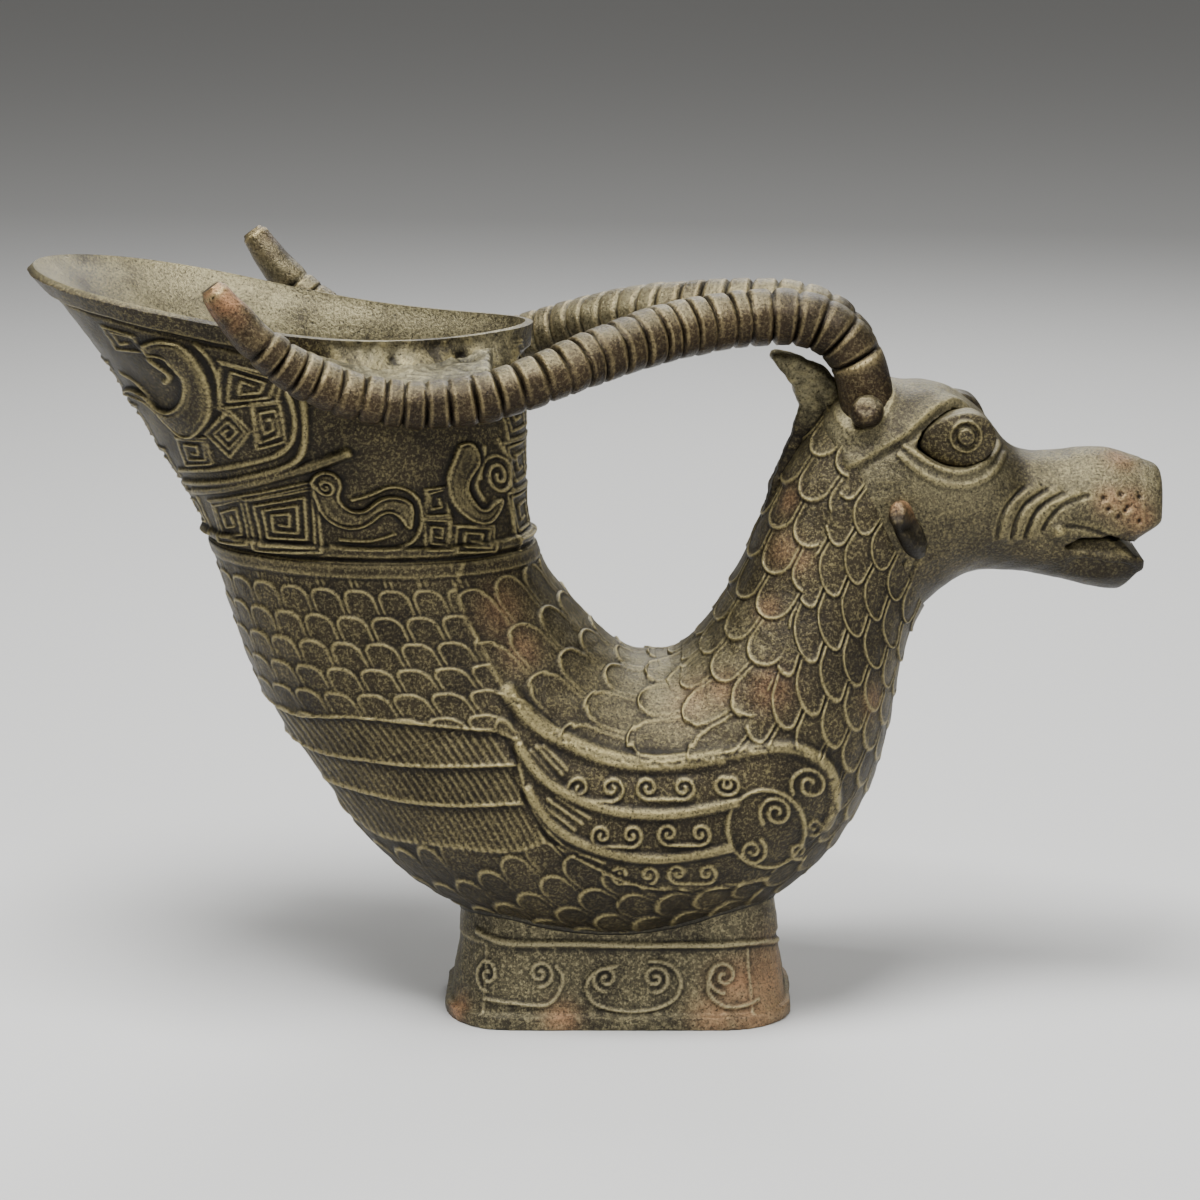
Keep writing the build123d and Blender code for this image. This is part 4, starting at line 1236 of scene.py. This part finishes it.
for side in ("right", "left"):
    eye = copy_of(f"eye_{side}", f"set_eye_{side}", voxel=0.17, ease=40)
    points = mesh_points(eye.data) - ABOVE_SEAT
    gap = np.hypot(points[:, 0] - PUPIL[0], points[:, 2] - PUPIL[1])
    height = sum(rise * hill(gap - at, wide) for at, rise, wide in EYE_RINGS)
    height = height * (np.abs(points[:, 1]) > EYE_FACE) + 0.05 * unevenness(points, 2.5)
    raise_skin(eye, height)
    paint_wear_and_light(eye, height, ridge_gain=6.0)
    finish_piece(eye, "cast_bronze", f"eye_{side}")

    ear = copy_of(f"ear_{side}", f"stub_ear_{side}", voxel=0.22, ease=5)
    points = mesh_points(ear.data) - ABOVE_SEAT
    tip = np.array(EAR_TIP) * (1, 1 if side == "left" else -1, 1)
    scoop = np.hypot(points[:, 0] - tip[0] - 0.9, points[:, 2] - tip[2] + 3.4)
    height = 0.45 + 0.16 * unevenness(points, 3.0) - 1.1 * hill(scoop, 1.7)
    raise_skin(ear, height)
    bare = hill(np.linalg.norm(points - tip, axis=1), 2.6)
    # Below its tip the ear's face is painted dark as shade.
    shaded = 0.8 * (1 - bare) * soft_step((tip[2] + 1 - points[:, 2]) / 3)
    paint_wear_and_light(ear, height, bare, 0.3 * bare, shade_and_grime=shaded)
    finish_piece(ear, "cast_bronze", f"ear_{side}")

    pin = copy_of(f"horn_pin_{side}", f"pin_knob_{side}", voxel=0.2, ease=6)
    points = mesh_points(pin.data)
    height = 0.55 + 0.08 * unevenness(points, 2.0)
    raise_skin(pin, height)
    paint_wear_and_light(pin, height)
    finish_piece(pin, "horn_bronze", f"horn_pin_{side}")

crest = copy_of("mane_crest", "mane_fin", voxel=0.28, ease=8)
points = mesh_points(crest.data) - ABOVE_SEAT
lit = soft_step((points[:, 2] - CREST_FOOT) / 7.0)
height = 0.6 * lit + 0.18 * unevenness(points, 4.0) + 0.07 * unevenness(points, 1.6)
raise_skin(crest, height)
# Its top is painted lighter as dust, standing in for light from above, and its lower part is painted dark as
# the horn's shadow.
paint_wear_and_light(crest, height, dust=lit, shade_and_grime=0.6 * (1 - lit))
finish_piece(crest, "cast_bronze", "mane_crest")

# %% [markdown]
# ## The foot and the filler metal
# The foot is a flaring ring with a ledge near its top and pairs of cloud scrolls on its sides. It
# is drawn on unrolled, by the distance round from the middle of its side. Rough filler metal joins
# the horns to the cup; it was run on by hand, so it is lumpy and full of pits.

# %% Model the foot and the filler
FOOT_LENGTH, FOOT_DEPTH, FOOT_CORNER = 58.4, 33.0, 11.0
turn = np.linspace(0, math.pi / 2, 9)
corner = FOOT_CORNER * np.stack([np.sin(turn) - 1, np.cos(turn) - 1], -1) + (FOOT_LENGTH / 2, FOOT_DEPTH / 2)
FOOT_QUARTER = np.vstack([[(0, FOOT_DEPTH / 2)], corner, [(FOOT_LENGTH / 2, 0)]])


def foot_round(points):
    """Distances round the foot from the middle of its side, towards the beast positive."""
    _, along = line_distance(np.abs(points[..., 0]), np.abs(points[..., 1]), FOOT_QUARTER)
    return along * np.sign(points[..., 0])


def foot_view(pixels):
    """Places in the photograph on the unrolled foot."""
    hits = np.array([seen(px, py, "foot_ring") for px, py in pixels]) + ABOVE_SEAT
    return np.stack([foot_round(hits), hits[:, 2]], -1)


# Lines: their places in the photograph, half-widths and heights.
FOOT_STROKES = (
    (((450, 939), (493, 939), (560, 943), (640, 945), (745, 943), (777, 939)), 0.8, 0.5),
    (((486, 999), (520, 1004), (550, 1003), (560, 990), (562, 974), (556, 966)), 0.5, 0.42),
    (((616, 966), (600, 970), (587, 984), (592, 1001), (606, 1008), (660, 1007), (677, 996), (680, 978),
      (668, 964), (650, 961)), 0.5, 0.42),
    (((713, 970), (708, 990), (718, 1003), (758, 999)), 0.5, 0.42),
    (((487, 945), (484, 1012)), 0.5, 0.22),
    (((747, 945), (752, 1012)), 0.5, 0.22),
)
# Spirals: their middles and radii in the photograph, and the way of winding.
FOOT_SPIRALS = (((488, 974), 13, 1.0), ((540, 973), 14, -1.0), ((606, 978), 14, 1.0), ((655, 978), 15, -1.0),
                ((724, 976), 15, 1.0))
FOOT_COPPER = (((775, 985), 7.0), ((760, 1005), 6.5), ((735, 985), 4.0), ((715, 1014), 3.5),
               ((455, 1010), 2.4), ((560, 1020), 2.6))

foot = copy_of("foot_ring", "foot_wall", voxel=0.33, ease=5)
points = mesh_points(foot.data)
view = Relief(foot_round(points), points[:, 2])
for line, width, height in FOOT_STROKES:
    view.stroke(rounded(foot_view(line)), width, height)
SCROLL_WIDTH, SCROLL_HEIGHT, FOOT_SCROLL_TURNS = 0.5, 0.42, 1.5
for (px, py), radius, turn in FOOT_SPIRALS:
    centre, edge = foot_view([(px, py), (px + radius, py)])
    line = spiral(centre, math.dist(centre, edge), FOOT_SCROLL_TURNS, -math.pi / 2, -turn)
    view.stroke(line, SCROLL_WIDTH, SCROLL_HEIGHT)
LEDGE_HEIGHT, LEDGE_RISE = 13.6, 0.35
view.ground += LEDGE_RISE * soft_step((points[:, 2] - LEDGE_HEIGHT) / 0.8)
outward = read(foot.data.vertices, "normal", 3)
faces_out = (outward[:, 0] * points[:, 0] + outward[:, 1] * points[:, 1] > 0) & (outward[:, 2] > -0.6)
height = (view.height() + 0.10 * unevenness(points, 8.0) + 0.05 * unevenness(points, 2.5)) * faces_out
raise_skin(foot, height)
bare = copper_near(points - ABOVE_SEAT, spots_on("foot_ring", FOOT_COPPER))
paint_wear_and_light(foot, height, 0.95 * bare, 0.12 + 0.3 * bare)
finish_piece(foot, "foot_bronze", "foot_ring")

seam = copy_of("foot_braze", "foot_bead", voxel=0.3, ease=2)
paint_wear_and_light(seam, np.zeros(len(seam.data.vertices)), shade_and_grime=0.7)
finish_piece(seam, "filler_metal", "foot_braze")

for side in ("right", "left"):
    web = copy_of(f"horn_braze_{side}", f"filler_web_{side}", voxel=0.36, ease=30)
    points = mesh_points(web.data)
    height = 0.25 + 0.16 * unevenness(points, 5.5) + 0.10 * unevenness(points, 1.7, 40)
    height -= pits_at(points - ABOVE_SEAT, web_pits)
    raise_skin(web, height)
    paint_wear_and_light(web, height, dust=0.5, hollow_gain=2.0)
    finish_piece(web, "filler_metal", f"horn_braze_{side}")

# %% [markdown]
# ## Old bronze
# All the metal shares one effect: a dark brown field with slow blotches, khaki wear and painted
# highlights on ridges, khaki in fine flecks, near-black dirt and painted shade in the hollows and
# under downward faces, bare copper in rubbed spots, and grey-green dust where nothing is touched,
# which on upward faces also paints the light from above. It is a node group, so each finish places
# it with its own colours. It reads the wear layer of the mesh and the Object coordinates.

# %% Build the shared patina group


def new_group(name, inputs, outputs):
    """An empty shader node group with named sockets."""
    group = bpy.data.node_groups.new(name, "ShaderNodeTree")
    for (label, kind), way in [(i, "INPUT") for i in inputs] + [(o, "OUTPUT") for o in outputs]:
        group.interface.new_socket(label, in_out=way, socket_type=kind)
    return group, group.nodes.new("NodeGroupInput"), group.nodes.new("NodeGroupOutput")


class Wiring:
    """Short ways to add and join nodes in one tree."""

    def __init__(self, tree):
        self.tree = tree

    def join(self, source, target):
        self.tree.links.new(source, target)

    def put(self, value, socket):
        """Join an output to a socket, or set the socket's own value."""
        if hasattr(value, "is_output"):
            self.join(value, socket)
        else:
            socket.default_value = value

    def noise(self, place, scale, detail, rough=0.5):
        node = self.tree.nodes.new("ShaderNodeTexNoise")
        node.inputs["Scale"].default_value = scale
        node.inputs["Detail"].default_value = detail
        node.inputs["Roughness"].default_value = rough
        self.join(place, node.inputs["Vector"])
        return node.outputs["Fac"]

    def math(self, kind, a, b=0.0):
        node = self.tree.nodes.new("ShaderNodeMath")
        node.operation = kind
        self.put(a, node.inputs[0])
        self.put(b, node.inputs[1])
        return node.outputs[0]

    def times(self, a, b):
        return self.math("MULTIPLY", a, b)

    def span(self, value, low, high, to_low=0.0, to_high=1.0):
        node = self.tree.nodes.new("ShaderNodeMapRange")
        self.put(value, node.inputs["Value"])
        for label, number in (("From Min", low), ("From Max", high), ("To Min", to_low), ("To Max", to_high)):
            node.inputs[label].default_value = number
        return node.outputs["Result"]

    def mix(self, share, a, b):
        node = self.tree.nodes.new("ShaderNodeMix")
        node.data_type = "RGBA"
        self.put(share, node.inputs[0])
        self.put(a, node.inputs[6])
        self.put(b, node.inputs[7])
        return node.outputs[2]


# The dust tone also paints light from above on upward faces.
COPPER_TONE, DUST_AND_TOP_LIGHT_TONE = (0.43, 0.225, 0.11, 1), (0.240, 0.212, 0.118, 1)
# The dirt tone also paints shade in hollows and on downward faces.
DIRT_AND_SHADE_TONE, PIT_TONE = (0.006, 0.0045, 0.003, 1), (0.008, 0.006, 0.004, 1)
COLOUR, NUMBER, PLACE = "NodeSocketColor", "NodeSocketFloat", "NodeSocketVector"
patina, given, made = new_group(
    "old_bronze_patina",
    [("Place", PLACE), ("Ridge", NUMBER), ("Hollow", NUMBER), ("Copper", NUMBER), ("Dust", NUMBER),
     ("Field", COLOUR), ("Field light", COLOUR), ("Worn", COLOUR), ("Flecks", NUMBER)],
    [("Color", COLOUR), ("Roughness", NUMBER), ("Height", NUMBER)],
)
wire = Wiring(patina)
socket = given.outputs
blotch = wire.noise(socket["Place"], 95.0, 4.0)
speck = wire.noise(socket["Place"], 1900.0, 5.0, 0.72)
grain = wire.noise(socket["Place"], 2600.0, 2.0)
field = wire.mix(wire.span(blotch, 0.36, 0.66), socket["Field"], socket["Field light"])
fleck = wire.times(wire.span(speck, 0.49, 0.62), socket["Flecks"])
fleck = wire.times(fleck, wire.span(blotch, 0.30, 0.62, 0.35, 1.0))
field = wire.mix(fleck, field, socket["Worn"])
bare = wire.times(socket["Copper"], wire.span(speck, 0.36, 0.56, 0.25, 1.0))
coppery = wire.mix(bare, field, COPPER_TONE)
# Dust, which on upward faces also stands in for light from above.
settled = wire.times(socket["Dust"], wire.span(blotch, 0.34, 0.61, 0.16, 1.0))
settled = wire.times(settled, wire.span(speck, 0.36, 0.58, 0.35, 1.0))
dusted_and_top_lit = wire.mix(settled, coppery, DUST_AND_TOP_LIGHT_TONE)
# Khaki on ridges is wear and painted highlight.
rub_and_highlight = wire.times(socket["Ridge"], wire.span(speck, 0.30, 0.62, 0.35, 1.0))
rubbed_and_highlit = wire.mix(rub_and_highlight, dusted_and_top_lit, socket["Worn"])
# Near-black in hollows is dirt and painted shade.
dirt_and_shade = wire.times(socket["Hollow"], 0.92)
dirty_and_shaded = wire.mix(dirt_and_shade, rubbed_and_highlit, DIRT_AND_SHADE_TONE)
pitted = wire.mix(wire.span(grain, 0.30, 0.45, 0.8, 0.0), dirty_and_shaded, PIT_TONE)
wire.join(pitted, made.inputs["Color"])
gloss = wire.span(speck, 0.30, 0.70, 0.40, 0.62)
wire.join(wire.math("SUBTRACT", gloss, wire.times(socket["Ridge"], 0.08)), made.inputs["Roughness"])
rough = wire.math("ADD", wire.times(speck, 0.7), wire.times(grain, 0.3))
wire.join(rough, made.inputs["Height"])
print("patina nodes:", len(patina.nodes))

# %% [markdown]
# ## Four finishes
# The vessel and head are brown with khaki ridges, the horns a darker brown, the foot redder where it
# was handled, and the filler grey-green. Each finish is a plain Principled shader fed by the group.

# %% Make and assign the finishes
# The field, its lighter blotches and the worn ridges, whose khaki also paints highlights, then shares of
# flecks, metal and roughness.
FINISHES = {
    "cast_bronze": (
        (0.017, 0.0125, 0.0070, 1), (0.042, 0.032, 0.017, 1), (0.360, 0.300, 0.135, 1), 0.50, 0.60, 0.85,
    ),
    "horn_bronze": (
        (0.016, 0.010, 0.006, 1), (0.042, 0.027, 0.014, 1), (0.340, 0.268, 0.128, 1), 0.32, 0.70, 0.70,
    ),
    "foot_bronze": (
        (0.032, 0.026, 0.015, 1), (0.078, 0.066, 0.036, 1), (0.390, 0.335, 0.180, 1), 0.85, 0.45, 0.95,
    ),
    "filler_metal": (
        (0.035, 0.031, 0.020, 1), (0.080, 0.072, 0.047, 1), (0.340, 0.305, 0.180, 1), 0.80, 0.35, 1.0,
    ),
}
BUMP_STRENGTH, BUMP_HEIGHT, SHEEN = 0.7, 0.4, 0.4


def bronze_finish(name, field, light, worn_and_highlight, flecks, metal, matt):
    """A finish of old bronze with its own colours."""
    finish = bpy.data.materials.new(name)
    finish.use_nodes = True
    tree = finish.node_tree
    shader = tree.nodes["Principled BSDF"]
    links = Wiring(tree)
    # The wear layer holds wear, dirt, copper and dust, with painted highlights, light and shade.
    layer = tree.nodes.new("ShaderNodeAttribute")
    layer.attribute_name = "wear"
    parts = tree.nodes.new("ShaderNodeSeparateColor")
    place = tree.nodes.new("ShaderNodeTexCoord")
    coat = tree.nodes.new("ShaderNodeGroup")
    coat.node_tree = patina
    links.join(layer.outputs["Color"], parts.inputs["Color"])
    for label, source in (("Ridge", parts.outputs["Red"]), ("Hollow", parts.outputs["Green"]),
                          ("Copper", parts.outputs["Blue"]), ("Dust", layer.outputs["Alpha"]),
                          ("Place", place.outputs["Object"])):
        links.join(source, coat.inputs[label])
    for label, value in (("Field", field), ("Field light", light), ("Worn", worn_and_highlight), ("Flecks", flecks)):
        coat.inputs[label].default_value = value
    bump = tree.nodes.new("ShaderNodeBump")
    bump.inputs["Strength"].default_value = BUMP_STRENGTH
    bump.inputs["Distance"].default_value = BUMP_HEIGHT * MM
    links.join(coat.outputs["Height"], bump.inputs["Height"])
    links.join(coat.outputs["Color"], shader.inputs["Base Color"])
    links.join(links.times(coat.outputs["Roughness"], matt), shader.inputs["Roughness"])
    links.join(bump.outputs["Normal"], shader.inputs["Normal"])
    shader.inputs["Metallic"].default_value = metal
    shader.inputs["Specular IOR Level"].default_value = SHEEN
    return finish


finishes = {name: bronze_finish(f"{name}_patina", *values) for name, values in FINISHES.items()}
slot_of = {part["node"]: part["material_slot"] for part in frame["record"]["subparts"]}
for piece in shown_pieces():
    slot = piece.get("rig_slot") or slot_of[piece.name]
    piece.data.materials.clear()
    piece.data.materials.append(finishes[slot])
print("finishes:", ", ".join(finishes))

# %% [markdown]
# ## The photo table
# A plain pale floor, a soft light from above, weaker ones from the front and the back and a pale
# sky are enough to show relief without hard shadows.

# %% Set up floor and light
FLOOR_TONE, FLOOR_ROUGHNESS, FLOOR_SIZE = (0.55, 0.55, 0.54, 1), 0.9, 6.0
SKY_TONE, SKY_STRENGTH = (0.83, 0.82, 0.80, 1), 0.24
# Each light's name, then its place and size in metres and its power in watts.
LIGHTS = (
    ("key_light", (-0.10, -0.22, 0.80), 0.34, 15.0),
    ("fill_light", (0.45, -0.60, 0.35), 0.40, 2.2),
    ("back_light", (0.10, 0.60, 0.55), 0.40, 3.5),
)
AIM_POINT = Vector((0.0, 0.0, 0.06))

bpy.ops.object.select_all(action="DESELECT")
bpy.ops.mesh.primitive_plane_add(size=FLOOR_SIZE)
floor = bpy.context.object
floor.name = "pale_floor"
floor_finish = bpy.data.materials.new("pale_floor_finish")
floor_finish.use_nodes = True
floor_shader = floor_finish.node_tree.nodes["Principled BSDF"]
floor_shader.inputs["Base Color"].default_value = FLOOR_TONE
floor_shader.inputs["Roughness"].default_value = FLOOR_ROUGHNESS
floor.data.materials.append(floor_finish)
for name, place, size, power in LIGHTS:
    turn = (AIM_POINT - Vector(place)).to_track_quat("-Z", "Y").to_euler()
    bpy.ops.object.light_add(type="AREA", location=place, rotation=turn)
    lamp = bpy.context.object
    lamp.name = name
    lamp.data.size, lamp.data.energy = size, power
world = bpy.context.scene.world or bpy.data.worlds.new("studio")
bpy.context.scene.world = world
world.use_nodes = True
sky = world.node_tree.nodes["Background"]
sky.inputs["Color"].default_value = SKY_TONE
sky.inputs["Strength"].default_value = SKY_STRENGTH
print("lights:", len(LIGHTS))
